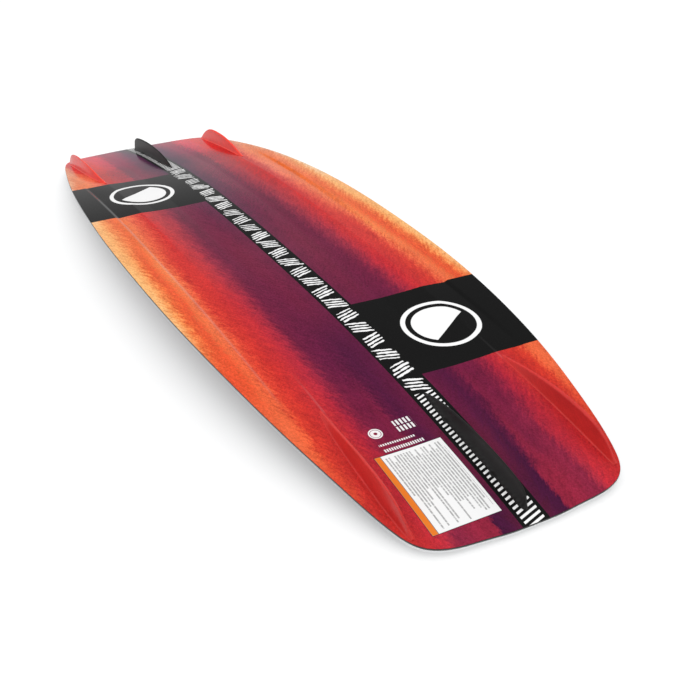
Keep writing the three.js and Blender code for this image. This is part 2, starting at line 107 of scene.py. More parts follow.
# ------------------------------------------------------------------ plan outline
def spline(points, start, end):
    """C2 spline through points by chord length, with end tangents."""
    s = np.concatenate([[0], np.cumsum(np.linalg.norm(np.diff(points, axis=0), axis=1))])
    n = len(s)
    A, B = np.zeros((n, n)), np.zeros((n, 2))
    A[0, 0] = A[-1, -1] = 1
    B[0], B[-1] = start, end
    for i in range(1, n - 1):
        h0, h1 = s[i] - s[i - 1], s[i + 1] - s[i]
        A[i, i - 1], A[i, i], A[i, i + 1] = h1, 2 * (h0 + h1), h0
        B[i] = 3 * (h1 * (points[i] - points[i - 1]) / h0 + h0 * (points[i + 1] - points[i]) / h1)
    d = np.linalg.solve(A, B)

    def at(q):
        q = np.clip(q, 0, s[-1])
        i = np.clip(np.searchsorted(s, q) - 1, 0, n - 2)
        h = (s[i + 1] - s[i])[:, None]
        t = ((q - s[i]) / h[:, 0])[:, None]
        return ((2 * t**3 - 3 * t**2 + 1) * points[i] + (t**3 - 2 * t**2 + t) * h * d[i]
                + (-2 * t**3 + 3 * t**2) * points[i + 1] + (t**3 - t**2) * h * d[i + 1])
    return at, s[-1]


_at, _len = spline(OUTLINE, (1, 0), (0, -1))
QUAD = _at(np.linspace(0, _len, 1600))
QUAD[:, 0] = np.minimum(QUAD[:, 0], HALF_LENGTH)
_t = np.gradient(QUAD, axis=0)
_t[0], _t[-1] = (1, 0), (0, -1)
_t /= np.linalg.norm(_t, axis=1)[:, None]
QUAD_IN = np.stack([_t[:, 1], -_t[:, 0]], 1)      # points into the board


def inner_columns(split):
    marks = {0.0}
    for c in (60.0, 98.0, split):
        for d in (-3.2, -1.7, -0.8, 0.0, 0.8, 1.7, 3.2):
            if 0 < c + d <= split:
                marks.add(c + d)
    marks |= {1.2, 2.6}
    m = sorted(marks)
    full = [m[0]]
    for a, b in zip(m, m[1:]):
        n = max(1, int(math.ceil((b - a) / 4.6)))
        full += [a + (b - a) * k / n for k in range(1, n + 1)]
    full = np.array(full)
    return np.concatenate([-full[:0:-1], full])


_OUT = [0, .8, 1.7, 3.2, 7.5, 12, 17, 22, 27, 31, 33.2, 34.6, 35.4, 36, 36.6, 37.4, 39, 41, 43.4, 44.8, 45.5, 46,
        46.6, 47.4, 49, 53, 58, 63, 68, 73, 77.5, 80.5, 82.6, 84]
OUT_FINE = np.array(_OUT) / 84.0
OUT_PLAIN = np.linspace(0, 1, 13)


def plan_grid(dist, split, outer, dx=4.0, xl=544.0, ntip=26):
    """Rows along the board and columns across it, ending on the outline moved in by dist(x)."""
    rim = QUAD + QUAD_IN * np.broadcast_to(dist(QUAD[:, 0]), (len(QUAD),))[:, None]
    order = np.argsort(rim[:, 1])
    length = lambda v: np.interp(v, rim[order, 1], rim[order, 0])
    width = lambda u: np.interp(u, rim[:, 0], rim[:, 1])
    n = int(round(2 * xl / dx))
    t = 1 - (1 - np.arange(1, ntip + 1) / ntip) ** 1.7
    cols = inner_columns(split)
    rows = np.concatenate([-xl - t[::-1] * 1.0, np.linspace(-xl, xl, n + 1), xl + t])   # past xl: share of the tip
    X, Y = [], []
    for r in rows:
        side = abs(r) <= xl
        end = lambda v: r if side else math.copysign(1, r) * (xl + (abs(r) - xl) * (length(v) - xl))
        xi = np.array([end(abs(c)) for c in cols])
        xo = end(split)
        w = max(float(width(abs(xo))), split) if abs(xo) < length(split) - 1e-6 else split
        if outer is OUT_FINE:
            k = w - split
            knots = [split, split + min(35, .67 * k), split + min(39.5, .76 * k), w]
            yo = np.interp(outer, [0, 36 / 84, 46 / 84, 1], knots)
        else:
            yo = split + (w - split) * outer
        X.append(np.concatenate([np.full(len(yo) - 1, xo), xi, np.full(len(yo) - 1, xo)]))
        Y.append(np.concatenate([-yo[:0:-1], cols, yo[1:]]))
    return np.array(X), np.array(Y)


# ------------------------------------------------------------------ mesh helpers
def mesh_object(name, verts_mm, faces, materials, slots=None, flat=None):
    me = bpy.data.meshes.new(name)
    v = np.asarray(verts_mm, float).copy()
    me.from_pydata((v / 1000.0).tolist(), [], faces)
    me.validate()
    for m in materials:
        me.materials.append(m)
    if slots is not None and len(slots) == len(me.polygons):
        me.polygons.foreach_set("material_index", np.asarray(slots, np.int32))
    me.polygons.foreach_set("use_smooth", np.ones(len(me.polygons), bool))
    me.update()
    ob = bpy.data.objects.new(name, me)
    bpy.context.scene.collection.objects.link(ob)
    return ob


def place(ob, node, slot):
    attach(ob, "root")
    for n in ([node] if isinstance(node, str) else node):
        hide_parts(n)
    return ob


def crisp(ob):
    """Face-weighted normals; the flat ends of a loft keep a hard edge."""
    hard = {tuple(sorted(k)) for p in ob.data.polygons if len(p.vertices) > 8 for k in p.edge_keys}
    for e in ob.data.edges:
        if tuple(sorted(e.key)) in hard:
            e.use_edge_sharp = True
    m = ob.modifiers.new("normals", "WEIGHTED_NORMAL")
    m.keep_sharp = True
    m.weight = 60
    return ob


def recalc(ob):
    bm = bmesh.new()
    bm.from_mesh(ob.data)
    bmesh.ops.recalc_face_normals(bm, faces=bm.faces)
    bm.to_mesh(ob.data)
    bm.free()
    return ob


def slab(name, grid, top, bottom, round_edge, materials):
    """A sheet between two height functions: material 0 on top, 1 on its edge and back."""
    X, Y = grid
    ni, nj = X.shape
    key = {}
    index = np.zeros((ni, nj), int)
    plan = []
    for i in range(ni):
        for j in range(nj):
            k = (round(X[i, j], 4), round(Y[i, j], 4))
            if k not in key:
                key[k] = len(plan)
                plan.append((X[i, j], Y[i, j]))
            index[i, j] = key[k]
    plan = np.array(plan)
    quads = []
    for i in range(ni - 1):
        for j in range(nj - 1):
            q = [index[i, j], index[i + 1, j], index[i + 1, j + 1], index[i, j + 1]]
            q = [a for a, b in zip(q, q[1:] + q[:1]) if a != b]
            if len(q) > 2 and len(set(q)) == len(q):
                quads.append(q)
    # the boundary loop: edges used once, walked in order
    edge = {}
    for q in quads:
        for a, b in zip(q, q[1:] + q[:1]):
            edge[(a, b)] = True
    nxt = {a: b for (a, b) in edge if (b, a) not in edge}
    first = next(iter(nxt))
    loop = [first]
    while nxt[loop[-1]] != first:
        loop.append(nxt[loop[-1]])
    rim = plan[loop]
    tan = np.roll(rim, -1, 0) - np.roll(rim, 1, 0)
    tan /= np.linalg.norm(tan, axis=1)[:, None]
    out = np.stack([tan[:, 1], -tan[:, 0]], 1)
    c = round_edge
    n = len(plan)
    z_top, z_bot = top(plan[:, 0], plan[:, 1]), bottom(plan[:, 0], plan[:, 1])
    verts = [np.column_stack([plan, z_top])]
    ringed = []
    base = n
    for d, dz, from_top in ((0.55, 0.16, True), (0.87, 0.5, True), (1.0, 1.0, True), (1.0, 0.6, False)):
        p = rim + out * c * d
        z = z_top[loop] - c * dz if from_top else z_bot[loop] + c * dz * 0.5
        verts.append(np.column_stack([p, z]))
        ringed.append(np.arange(base, base + len(loop)))
        base += len(loop)
    verts.append(np.column_stack([plan, z_bot]))
    faces, slots = [], []
    for q in quads:
        faces.append(q)
        slots.append(0)
    rings = [np.array(loop)] + ringed + [np.array(loop) + base]
    for r, (a, b) in enumerate(zip(rings, rings[1:])):
        for k in range(len(loop)):
            k2 = (k + 1) % len(loop)
            faces.append([a[k], b[k], b[k2], a[k2]])
            slots.append(0 if r < 1 else 1)
    for q in quads:
        faces.append([base + v for v in q[::-1]])
        slots.append(1)
    V = np.vstack(verts)
    V[:, 2] += SHIFT
    return mesh_object(name, V, [[int(v) for v in f] for f in faces], materials, slots)


def tube(sections, closed_ends=True):
    """Verts and faces of a loft through closed sections with equal point counts."""
    n, m = len(sections), len(sections[0])
    verts = np.vstack(sections)
    faces = []
    for k in range(n - 1):
        for i in range(m):
            i2 = (i + 1) % m
            faces.append([k * m + i, k * m + i2, (k + 1) * m + i2, (k + 1) * m + i])
    if closed_ends:
        faces.append([i for i in range(m)][::-1])
        faces.append([(n - 1) * m + i for i in range(m)])
    return verts, faces


def rounded(poly, radii, steps=4):
    """A closed 2-D polygon with each corner replaced by an arc of the given radius."""
    poly = np.asarray(poly, float)
    out = []
    n = len(poly)
    for i in range(n):
        p, a, b = poly[i], poly[i - 1], poly[(i + 1) % n]
        da, db = a - p, b - p
        la, lb = np.linalg.norm(da), np.linalg.norm(db)
        r = radii[i]
        if r <= 0:
            out += [p] * (steps + 1)
            continue
        cut = min(r, la * 0.45, lb * 0.45)
        s, e = p + da / la * cut, p + db / lb * cut
        for k in range(steps + 1):
            t = k / steps
            out.append((1 - t) ** 2 * s + 2 * t * (1 - t) * p + t**2 * e)
    return np.array(out)


def lathe(profile, segments=40, hexed=()):
    """Rings (r, z) about Z; a ring whose place is in hexed is a hexagon with that half width."""
    th = np.linspace(0, 2 * math.pi, segments, endpoint=False)
    hexf = 1 / np.cos((th + math.pi / 6) % (math.pi / 3) - math.pi / 6)
    verts, faces, rings = [], [], []
    for i, (r, z) in enumerate(profile):
        if r < 1e-6:
            rings.append([len(verts)])
            verts.append((0, 0, z))
            continue
        f = hexf if i in hexed else 1.0
        rr = r * f * np.ones(segments)
        rings.append(list(range(len(verts), len(verts) + segments)))
        verts += [(rr[k] * math.cos(th[k]), rr[k] * math.sin(th[k]), z) for k in range(segments)]
    for a, b in zip(rings, rings[1:]):
        for k in range(segments):
            k2 = (k + 1) % segments
            if len(a) == 1 and len(b) == 1:
                continue
            if len(a) == 1:
                faces.append([a[0], b[k2], b[k]])
            elif len(b) == 1:
                faces.append([a[k], a[k2], b[0]])
            else:
                faces.append([a[k], a[k2], b[k2], b[k]])
    return verts, faces


# ------------------------------------------------------------------ node materials
def lin(c):
    c = np.asarray(c, float) / 255.0
    return np.where(c <= 0.04045, c / 12.92, ((c + 0.055) / 1.055) ** 2.4)


class F:
    """A scalar in a node tree, with arithmetic."""

    def __init__(self, net, sock):
        self.net, self.sock = net, sock

    def __add__(self, o): return self.net.math("ADD", self, o)
    __radd__ = __add__
    def __sub__(self, o): return self.net.math("SUBTRACT", self, o)
    def __rsub__(self, o): return self.net.math("SUBTRACT", o, self)
    def __mul__(self, o): return self.net.math("MULTIPLY", self, o)
    __rmul__ = __mul__
    def __truediv__(self, o): return self.net.math("DIVIDE", self, o)
    def __neg__(self): return self.net.math("MULTIPLY", self, -1.0)


class Net:
    def __init__(self, name):
        self.mat = bpy.data.materials.new(name)
        self.mat.use_nodes = True
        self.tree = self.mat.node_tree
        self.tree.nodes.clear()
        self.out = self.tree.nodes.new("ShaderNodeOutputMaterial")
        self.bsdf = self.tree.nodes.new("ShaderNodeBsdfPrincipled")
        self.tree.links.new(self.bsdf.outputs[0], self.out.inputs[0])
        self.coord = self.tree.nodes.new("ShaderNodeTexCoord")

    def put(self, value, sock):
        if isinstance(value, F):
            self.tree.links.new(value.sock, sock)
        elif hasattr(value, "node"):
            self.tree.links.new(value, sock)
        else:
            sock.default_value = value

    def math(self, op, a, b=None, c=None, clamp=False):
        n = self.tree.nodes.new("ShaderNodeMath")
        n.operation, n.use_clamp = op, clamp
        for i, v in enumerate((a, b, c)):
            if v is not None:
                self.put(v, n.inputs[i])
        return F(self, n.outputs[0])

    def xyz(self, x=0.0, y=0.0, z=0.0):
        n = self.tree.nodes.new("ShaderNodeCombineXYZ")
        for i, v in enumerate((x, y, z)):
            self.put(v, n.inputs[i])
        return n.outputs[0]

    def place(self):
        """Object coordinates in millimetres."""
        n = self.tree.nodes.new("ShaderNodeSeparateXYZ")
        self.tree.links.new(self.coord.outputs["Object"], n.inputs[0])
        return [F(self, n.outputs[i]) * 1000.0 for i in range(3)]

    def length(self, x, y, z=0.0):
        n = self.tree.nodes.new("ShaderNodeVectorMath")
        n.operation = "LENGTH"
        self.put(self.xyz(x, y, z), n.inputs[0])
        return F(self, n.outputs["Value"])

    def noise(self, vec, scale=1.0, detail=2.0, rough=0.5, distort=0.0, kind="FBM"):
        n = self.tree.nodes.new("ShaderNodeTexNoise")
        n.noise_dimensions = "3D"
        self.put(vec, n.inputs["Vector"])
        n.inputs["Scale"].default_value = scale
        n.inputs["Detail"].default_value = detail
        n.inputs["Roughness"].default_value = rough
        n.inputs["Distortion"].default_value = distort
        return F(self, n.outputs["Fac"])

    def voronoi(self, vec, scale=1.0, feature="F1", out="Distance"):
        n = self.tree.nodes.new("ShaderNodeTexVoronoi")
        n.feature = feature
        self.put(vec, n.inputs["Vector"])
        n.inputs["Scale"].default_value = scale
        return F(self, n.outputs[out])

    def white(self, v):
        n = self.tree.nodes.new("ShaderNodeTexWhiteNoise")
        n.noise_dimensions = "1D"
        self.put(v, n.inputs["W"])
        return F(self, n.outputs["Value"])

    def ramp(self, fac, stops, interp="LINEAR"):
        n = self.tree.nodes.new("ShaderNodeValToRGB")
        n.color_ramp.interpolation = interp
        el = n.color_ramp.elements
        stops = sorted(stops, key=lambda s: s[0])
        el[0].position, el[0].color = stops[0][0], (*stops[0][1], 1)
        el[1].position, el[1].color = stops[-1][0], (*stops[-1][1], 1)
        for p, c in stops[1:-1]:
            e = el.new(p)
            e.color = (*c, 1)
        self.put(fac, n.inputs[0])
        return n.outputs[0]

    def rise(self, v, a, b):
        """0 below a, 1 above b, smooth between; a > b gives a fall."""
        n = self.tree.nodes.new("ShaderNodeMapRange")
        n.interpolation_type = "SMOOTHSTEP"
        self.put(v, n.inputs["Value"])
        lo, hi, up = (a, b, True) if a < b else (b, a, False)
        n.inputs["From Min"].default_value, n.inputs["From Max"].default_value = lo, hi
        n.inputs["To Min"].default_value, n.inputs["To Max"].default_value = (0, 1) if up else (1, 0)
        return F(self, n.outputs[0])

    def within(self, v, a, b, soft=0.25):
        return self.rise(v, a - soft, a + soft) * self.rise(v, b + soft, b - soft)

    def box(self, x, y, x0, x1, y0, y1, soft=0.25):
        return self.within(x, x0, x1, soft) * self.within(y, y0, y1, soft)

    def mix(self, fac, a, b, blend="MIX"):
        n = self.tree.nodes.new("ShaderNodeMix")
        n.data_type, n.blend_type, n.clamp_factor = "RGBA", blend, True
        self.put(fac, n.inputs["Factor"])
        for v, s in ((a, n.inputs[6]), (b, n.inputs[7])):
            if isinstance(v, (tuple, list, np.ndarray)):
                s.default_value = (*[float(q) for q in v[:3]], 1)
            else:
                self.put(v, s)
        return n.outputs[2]

    def scaled(self, colour, factor):
        n = self.tree.nodes.new("ShaderNodeVectorMath")
        n.operation = "SCALE"
        self.put(colour, n.inputs[0])
        self.put(factor, n.inputs["Scale"])
        return n.outputs[0]

    def bump(self, height, strength, distance, under=None):
        n = self.tree.nodes.new("ShaderNodeBump")
        self.put(height, n.inputs["Height"])
        n.inputs["Strength"].default_value = strength
        n.inputs["Distance"].default_value = distance
        if under is not None:
            self.put(under, n.inputs["Normal"])
        return n.outputs[0]

    def set(self, **kw):
        names = {"colour": "Base Color", "rough": "Roughness", "metal": "Metallic", "normal": "Normal",
                 "ior": "IOR", "coat": "Coat Weight", "coat_rough": "Coat Roughness", "spec": "Specular IOR Level",
                 "sub": "Subsurface Weight", "aniso": "Anisotropic"}
        for k, v in kw.items():
            s = self.bsdf.inputs[names[k]]
            if isinstance(v, (tuple, list)) and len(v) == 3:
                v = (*v, 1.0)
            self.put(v, s)
        return self.mat


# ------------------------------------------------------------------ the base's graphics
LIGHT = 1.07        # irradiance over pi in the middle of the base, for the colours below as they are seen
# seen colour by distance from the centre line, mm, at stations along the board; veil is the sheen seen over it there
STREAKS = [
    (-590, .205, [(14, (138, 118, 132)), (24, (142, 122, 136)), (38, (180, 124, 140)), (52, (200, 124, 140)), (62, (196, 122, 138)),
                 (70, (214, 124, 138)), (80, (256, 128, 140)), (94, (262, 128, 138)), (104, (262, 104, 96)), (118, (256, 92, 84)),
                 (132, (258, 92, 70)), (146, (262, 104, 84))]),
    (-545, .178, [(14, (134, 117, 132)), (30, (144, 117, 134)), (38, (160, 118, 134)), (50, (182, 118, 134)), (62, (184, 116, 132)),
                 (70, (196, 116, 131)), (79, (236, 120, 134)), (94, (250, 124, 132)), (102, (250, 88, 84)), (116, (246, 80, 72)),
                 (130, (238, 78, 66)), (140, (246, 96, 76)), (150, (254, 180, 148))]),
    (-505, .168, [(14, (130, 116, 130)), (38, (152, 117, 131)), (54, (177, 116, 131)), (64, (174, 115, 130)), (72, (190, 116, 130)),
                 (80, (224, 119, 130)), (94, (234, 121, 126)), (102, (246, 66, 62)), (116, (238, 78, 70)), (130, (236, 82, 74)),
                 (140, (246, 100, 82)), (148, (253, 172, 142)), (162, (253, 200, 170))]),
    (-440, .143, [(14, (118, 108, 119)), (38, (133, 108, 120)), (54, (158, 109, 121)), (70, (150, 108, 118)),
                 (80, (191, 111, 119)), (96, (194, 110, 116)), (104, (211, 77, 79)), (118, (208, 79, 76)),
                 (127, (214, 84, 78)), (135, (248, 143, 124)), (150, (253, 163, 129)), (160, (252, 160, 124)), (176, (253, 205, 170))]),
    (-380, .105, [(14, (114, 99, 112)), (46, (149, 101, 113)), (58, (154, 101, 114)), (70, (147, 100, 111)),
                (80, (185, 102, 111)), (102, (197, 101, 104)), (110, (212, 94, 94)), (124, (222, 98, 94)),
                (134, (250, 135, 115)), (146, (253, 152, 118)), (160, (247, 141, 103)), (174, (253, 156, 118)), (184, (253, 222, 196))]),
    (-300, .07, [(14, (112, 88, 103)), (38, (126, 87, 102)), (54, (145, 87, 102)), (66, (134, 84, 99)),
                (80, (168, 85, 97)), (94, (187, 87, 94)), (108, (205, 84, 86)), (120, (213, 82, 82)),
                (130, (226, 110, 100)), (140, (249, 143, 115)), (150, (246, 140, 109)), (158, (240, 125, 84)),
                (168, (250, 144, 106)), (182, (254, 181, 127)), (192, (253, 220, 186))]),
    (-160, .029, [(14, (106, 63, 84)), (40, (116, 57, 79)), (54, (124, 61, 82)), (72, (122, 62, 80)), (82, (146, 66, 83)),
                (94, (177, 72, 82)), (110, (196, 74, 78)), (122, (212, 67, 66)), (132, (226, 90, 76)),
                (142, (235, 110, 84)), (150, (238, 130, 92)), (158, (239, 122, 78)), (168, (239, 116, 78)),
                (178, (244, 145, 94)), (190, (252, 187, 124)), (200, (252, 187, 130))]),
    (0, .011, [(14, (113, 50, 74)), (46, (122, 48, 71)), (72, (115, 46, 71)), (84, (133, 50, 72)),
             (94, (160, 57, 74)), (102, (184, 60, 71)), (112, (197, 60, 64)), (126, (211, 63, 60)), (136, (208, 62, 58)),
             (144, (217, 74, 60)), (151, (231, 102, 72)), (158, (242, 138, 88)), (166, (238, 114, 70)),
             (174, (231, 93, 61)), (183, (238, 120, 70)), (191, (249, 168, 103)), (200, (252, 190, 124))]),
    (150, .007, [(14, (107, 40, 67)), (40, (116, 40, 67)), (60, (109, 38, 66)), (78, (113, 38, 66)), (86, (125, 40, 66)),
               (94, (154, 46, 66)), (102, (181, 50, 64)), (112, (194, 50, 58)), (134, (204, 57, 52)),
               (143, (214, 65, 54)), (150, (226, 88, 62)), (159, (235, 115, 76)), (166, (235, 114, 70)),
               (174, (228, 88, 56)), (183, (230, 98, 57)), (191, (244, 148, 85)), (200, (250, 188, 126))]),
    (300, .005, [(14, (94, 32, 63)), (42, (84, 30, 61)), (58, (94, 31, 62)), (70, (104, 32, 65)), (84, (110, 34, 63)),
               (93, (145, 41, 64)), (103, (184, 47, 63)), (118, (192, 49, 54)), (136, (204, 52, 47)),
               (150, (220, 69, 51)), (158, (227, 95, 62)), (166, (233, 101, 62)), (174, (228, 86, 51)), (186, (226, 82, 50))]),
    (430, .005, [(14, (102, 32, 61)), (30, (94, 30, 61)), (42, (82, 28, 60)), (54, (94, 29, 60)), (62, (121, 34, 63)),
               (74, (113, 32, 62)), (86, (122, 34, 62)), (95, (146, 37, 61)), (104, (172, 40, 57)), (118, (192, 50, 53)),
               (138, (195, 49, 45)), (150, (210, 60, 45)), (160, (230, 98, 60)), (170, (231, 106, 66))]),
    (515, .005, [(14, (106, 34, 59)), (27, (98, 32, 60)), (38, (73, 28, 58)), (46, (94, 30, 60)), (54, (132, 37, 62)),
               (64, (120, 35, 63)), (82, (134, 38, 64)), (91, (170, 42, 60)), (104, (176, 41, 54)), (122, (186, 46, 48)),
               (142, (200, 53, 48)), (151, (212, 72, 50))]),
    (590, .005, [(14, (92, 31, 58)), (31, (74, 27, 58)), (39, (72, 26, 58)), (45, (140, 37, 60)), (60, (148, 39, 62)),
               (84, (138, 40, 66)), (94, (170, 47, 65)), (104, (192, 46, 57)), (120, (187, 44, 48)), (136, (196, 52, 48))]),
]


def albedo(seen, veil=0.005):
    return tuple(float(v) for v in np.clip((lin(seen) - veil) / LIGHT, 0.0015, 0.95))


def graphic(net, x, y, stripe=True, marks=True):
    """The printed base: streaks, centre stripe with brush strokes, two dark bands with a plain disc sign, a blank form."""
    ax, ay = net.math("ABSOLUTE", x), net.math("ABSOLUTE", y)
    # brushed edges: a long warp along the streaks, short slanting bristles, and grain
    long_warp = net.noise(net.xyz(x / 110.0, y / 26.0, 3.1), detail=3.0) - 0.5
    along, across = x * 0.88 - ay * 0.48, x * 0.48 + ay * 0.88
    bristle = net.noise(net.xyz(along / 17.0, across / 3.6, 7.7), detail=4.0, rough=0.65) - 0.5
    speck = net.noise(net.xyz(x / 3.4, y / 3.0, 1.9), detail=4.0, rough=0.75) - 0.5
    grain = net.noise(net.xyz(x / 1.2, y / 1.2, 1.3), detail=2.0, rough=0.7) - 0.5
    cloud = net.noise(net.xyz(x / 30.0, ay / 12.0, 9.2), detail=4.0, rough=0.65) - 0.5
    fac = (ay + long_warp * 9.0 + bristle * 24.0 + speck * 8.0 + cloud * 6.0) / 205.0
    xw = x + cloud * 40.0
    colour = None
    prev = None
    for station, veil, stops in STREAKS:
        c = net.ramp(fac, [(d / 205.0, albedo(s, veil)) for d, s in stops])
        colour = c if colour is None else net.mix(net.rise(xw, prev, station), colour, c)
        prev = station
    light = 1.0 + bristle * 0.55 + speck * 1.25 + grain * 0.75 + cloud * 0.46
    colour = net.scaled(colour, light)
    # painted highlight: a faint pale line along the raised line that runs out of each side fin
    ridge_highlight = net.within(ay, 117.7, 120.3, 0.6) * net.rise(ax, 296.0, 386.0) * net.rise(ax, 398.0, 388.0)
    colour = net.mix(ridge_highlight * 0.05, colour, (0.52, 0.50, 0.50))
    if not stripe:
        return colour, None
    # two dark bands, one on each side, their ends a little out of square
    black = (0.006, 0.006, 0.006)
    front = net.rise(y, -0.5, 0.5)
    t = ay - 17.0
    inner = (t * 0.040 + 202.5) * front + (t * 0.040 + 209.9) * (1.0 - front)
    outer = (t * 0.029 + 375.9) * front + (t * 0.059 + 373.6) * (1.0 - front)
    xs = x * (front * 2.0 - 1.0)
    band = net.rise(xs - inner, -0.3, 0.3) * net.rise(xs - outer, 0.3, -0.3)
    dull = net.scaled(net.mix(grain + 0.5, (0.0048, 0.0048, 0.0048), (0.0074, 0.0074, 0.0074)), 1.0 + speck * 0.3)
    colour = net.mix(band, colour, dull)
    white = (0.91, 0.91, 0.91)
    chalk = net.scaled(net.mix(speck + 0.5, (0.89, 0.89, 0.89), white), 1.0 + grain * 0.05)
    for cx, cy in ((294.0, 94.5), (-298.0, -89.5)):
        dx, dy = x - cx, y - cy
        r = net.length(dx, dy)
        turn = dx * 0.83 + dy * 0.56
        if cx < 0:
            turn = -turn
        ring = net.within(r, 44.6, 50.8, 0.3)
        half = net.rise(r, 37.8, 37.2) * net.rise(turn, 12.3, 11.7)
        colour = net.mix(net.math("MINIMUM", ring + half, 1.0), colour, chalk)
    # the same painted highlight, fainter, over the dark bands and their signs
    colour = net.mix(ridge_highlight * 0.018, colour, (0.52, 0.50, 0.50))
    # the centre stripe: runs of four brushed bars, leaning one way, then the other
    stripe_m = net.rise(ay, 17.1, 16.5)
    colour = net.mix(stripe_m, colour, dull)
    wob = net.noise(net.xyz(x / 6.0, y / 7.0, 5.5), detail=3.0) - 0.5
    run, pitch = 33.35, 6.3
    cell = net.math("FLOOR", (x + 27.0) / run)
    g = x + 27.0 - cell * run
    lean = net.math("MODULO", net.math("ABSOLUTE", cell), 2.0) * 0.60 - 0.30
    u = g + y * lean + wob * 3.2 - 4.1
    k = net.math("FLOOR", u / pitch)
    d = net.math("ABSOLUTE", u - k * pitch - pitch / 2.0)
    jit = net.white(k * 3.1 + cell * 17.0) - 0.5
    jit2 = net.white(k * 5.7 + cell * 11.0 + 0.3) - 0.5
    swell = net.noise(net.xyz(x / 5.0, y / 8.0, 2.2), detail=2.0) - 0.5
    width = swell * 3.0 + jit * 0.7 + 1.62 - y * y * 0.0034
    top = net.rise(y - jit * 5.0 - swell * 3.0, 12.4, 11.4)
    low = net.rise(y - jit2 * 5.0 + swell * 3.0, -12.6, -11.6)
    strokes = net.rise(d - width, 0.35, -0.35) * top * low * net.within(u, 0.0, 4 * pitch, 0.2) * stripe_m
    # beside the centre fins, which cut the bars short, an even hatch with no groups in it
    slant = x + y * 0.30
    even = net.math("ABSOLUTE", slant - net.math("FLOOR", slant / 6.67) * 6.67 - 3.335)
    plain = net.rise(even - 1.5, 0.3, -0.3) * net.rise(ay, 12.4, 11.8) * stripe_m
    free = net.rise(x, 406.7, 406.3) * net.rise(x, -394.1, -393.7)
    strokes = strokes * free + plain * (1.0 - free)
    dry = net.rise(net.noise(net.xyz(x / 0.9, y / 3.0, 8.0), detail=2.0), 0.26, 0.34)
    colour = net.mix(strokes * (0.66 + dry * 0.34), colour, chalk)
    if not marks:
        return colour, None
    # a blank printed form with a coloured foot, and a few plain signs beside it
    form = net.box(x, y, 479.6, 598.0, -106.3, -23.2)
    inside = net.box(x, y, 480.3, 597.4, -105.6, -23.8)
    pitch = 3.55
    row = net.math("FLOOR", y / pitch)
    line = net.math("ABSOLUTE", y - row * pitch - pitch / 2.0)
    r1, r2 = net.white(row), net.white(row + 0.5)
    word = net.rise(net.noise(net.xyz(x / 2.2, row * 7.3, 0.0), detail=1.0), 0.32, 0.52)
    fuzz = net.noise(net.xyz(x / 0.7, y / 0.7, 4.0), detail=1.0)
    ruled = (net.rise(line - fuzz * 0.9, 0.75, 0.15) * net.rise(x - 484.5 - net.rise(r1, 0.6, 0.62) * 9.0, 0.0, 0.5)
             * net.rise(x - 594.0 + r2 * r2 * 58.0, 0.5, 0.0) * net.within(y, -95.5, -27.0, 0.2))
    paper = net.mix(ruled * (0.30 + word * 0.40), lin((245, 245, 245)) * 0.894, lin((112, 112, 112)))
    foot = net.box(x, y, 480.3, 597.4, -105.6, -98.9)
    rule = net.box(x, y, 480.3, 597.4, -98.9, -98.3)
    paper = net.mix(foot, paper, albedo((232, 124, 34)))
    paper = net.mix(rule, paper, lin((40, 34, 30)))
    colour = net.mix(form, colour, lin((30, 26, 26)))
    colour = net.mix(inside, colour, paper)
    # a small dial, a tile of short bars, two fine rows of ticks
    dx, dy = x - 445.5, y + 84.5
    r = net.length(dx, dy)
    dial = net.rise(r, 8.4, 8.0) - net.within(r, 5.9, 6.6) - net.rise(r, 2.4, 2.0)
    tx = x - 434.0
    col = net.math("FLOOR", (y + 60.0) / 4.6)
    cut = net.math("ABSOLUTE", y + 60.0 - col * 4.6 - 2.3)
    tile = (net.within(tx, 0.0, 8.6) + net.within(tx, 10.6, 19.0)) * net.rise(cut, 1.45, 1.1) * net.within(y, -58.5, -36.0)
    tick = net.math("FLOOR", y / 2.9)
    tcut = net.math("ABSOLUTE", y - tick * 2.9 - 1.45)
    rows = (net.within(x - 463.4, 0.0, 3.0) * net.within(y, -91.0, -47.0)
            + net.within(x - 472.0, 0.0, 4.6) * net.within(y, -90.0, -40.5)) * net.rise(tcut, 1.05, 0.75)
    colour = net.mix(net.math("MINIMUM", dial + tile + rows, 1.0) * (0.86 + speck * 0.3), colour, chalk)
    return colour, inside


def make_graphic(name, stripe, marks, rough):
    net = Net(name)
    x, y, z = net.place()
    colour, paper = graphic(net, x, y, stripe, marks)
    smear = net.noise(net.xyz(x / 45.0, y / 45.0, 0.0), detail=3.0) - 0.5
    scratch = net.noise(net.xyz(x / 30.0, y / 0.5, 0.0), detail=2.0) - 0.5
    r = rough + smear * 0.05 + scratch * 0.03
    if paper is not None:
        r = r + paper * 0.12
    peel = net.noise(net.xyz(x / 6.0, y / 6.0, z / 6.0), detail=1.0)
    net.set(colour=colour, rough=r, ior=1.5, normal=net.bump(peel, 0.05, 0.0002))
    return net.mat


def plain(name, c0, c1, scale, rough, metal=0.0, grain=0.25, vec=None, bump=0.15, dist=0.0002, ior=1.5, spread=0.06, detail=3.0):
    net = Net(name)
    x, y, z = net.place()
    v = net.xyz(x / scale[0], y / scale[1], z / scale[2])
    n = net.noise(v, detail=detail, rough=0.6)
    fine = net.noise(net.xyz(x / 0.6, y / 0.6, z / 0.6), detail=2.0)
    colour = net.mix(net.rise(n + (fine - 0.5) * grain, 0.3, 0.7), lin(c0), lin(c1))
    net.set(colour=colour, rough=(n - 0.5) * spread * 2 + rough, ior=ior,
            normal=net.bump(n * 0.5 + fine * 0.5, bump, dist))
    net.bsdf.inputs["Metallic"].default_value = metal
    return net.mat


MAT_BASE = make_graphic("printed_base", True, True, 0.13)
MAT_SIDE_FIN = None
MAT_EDGE = plain("base_edge", (22, 22, 24), (34, 33, 35), (30, 30, 1.2), 0.42, grain=0.5)


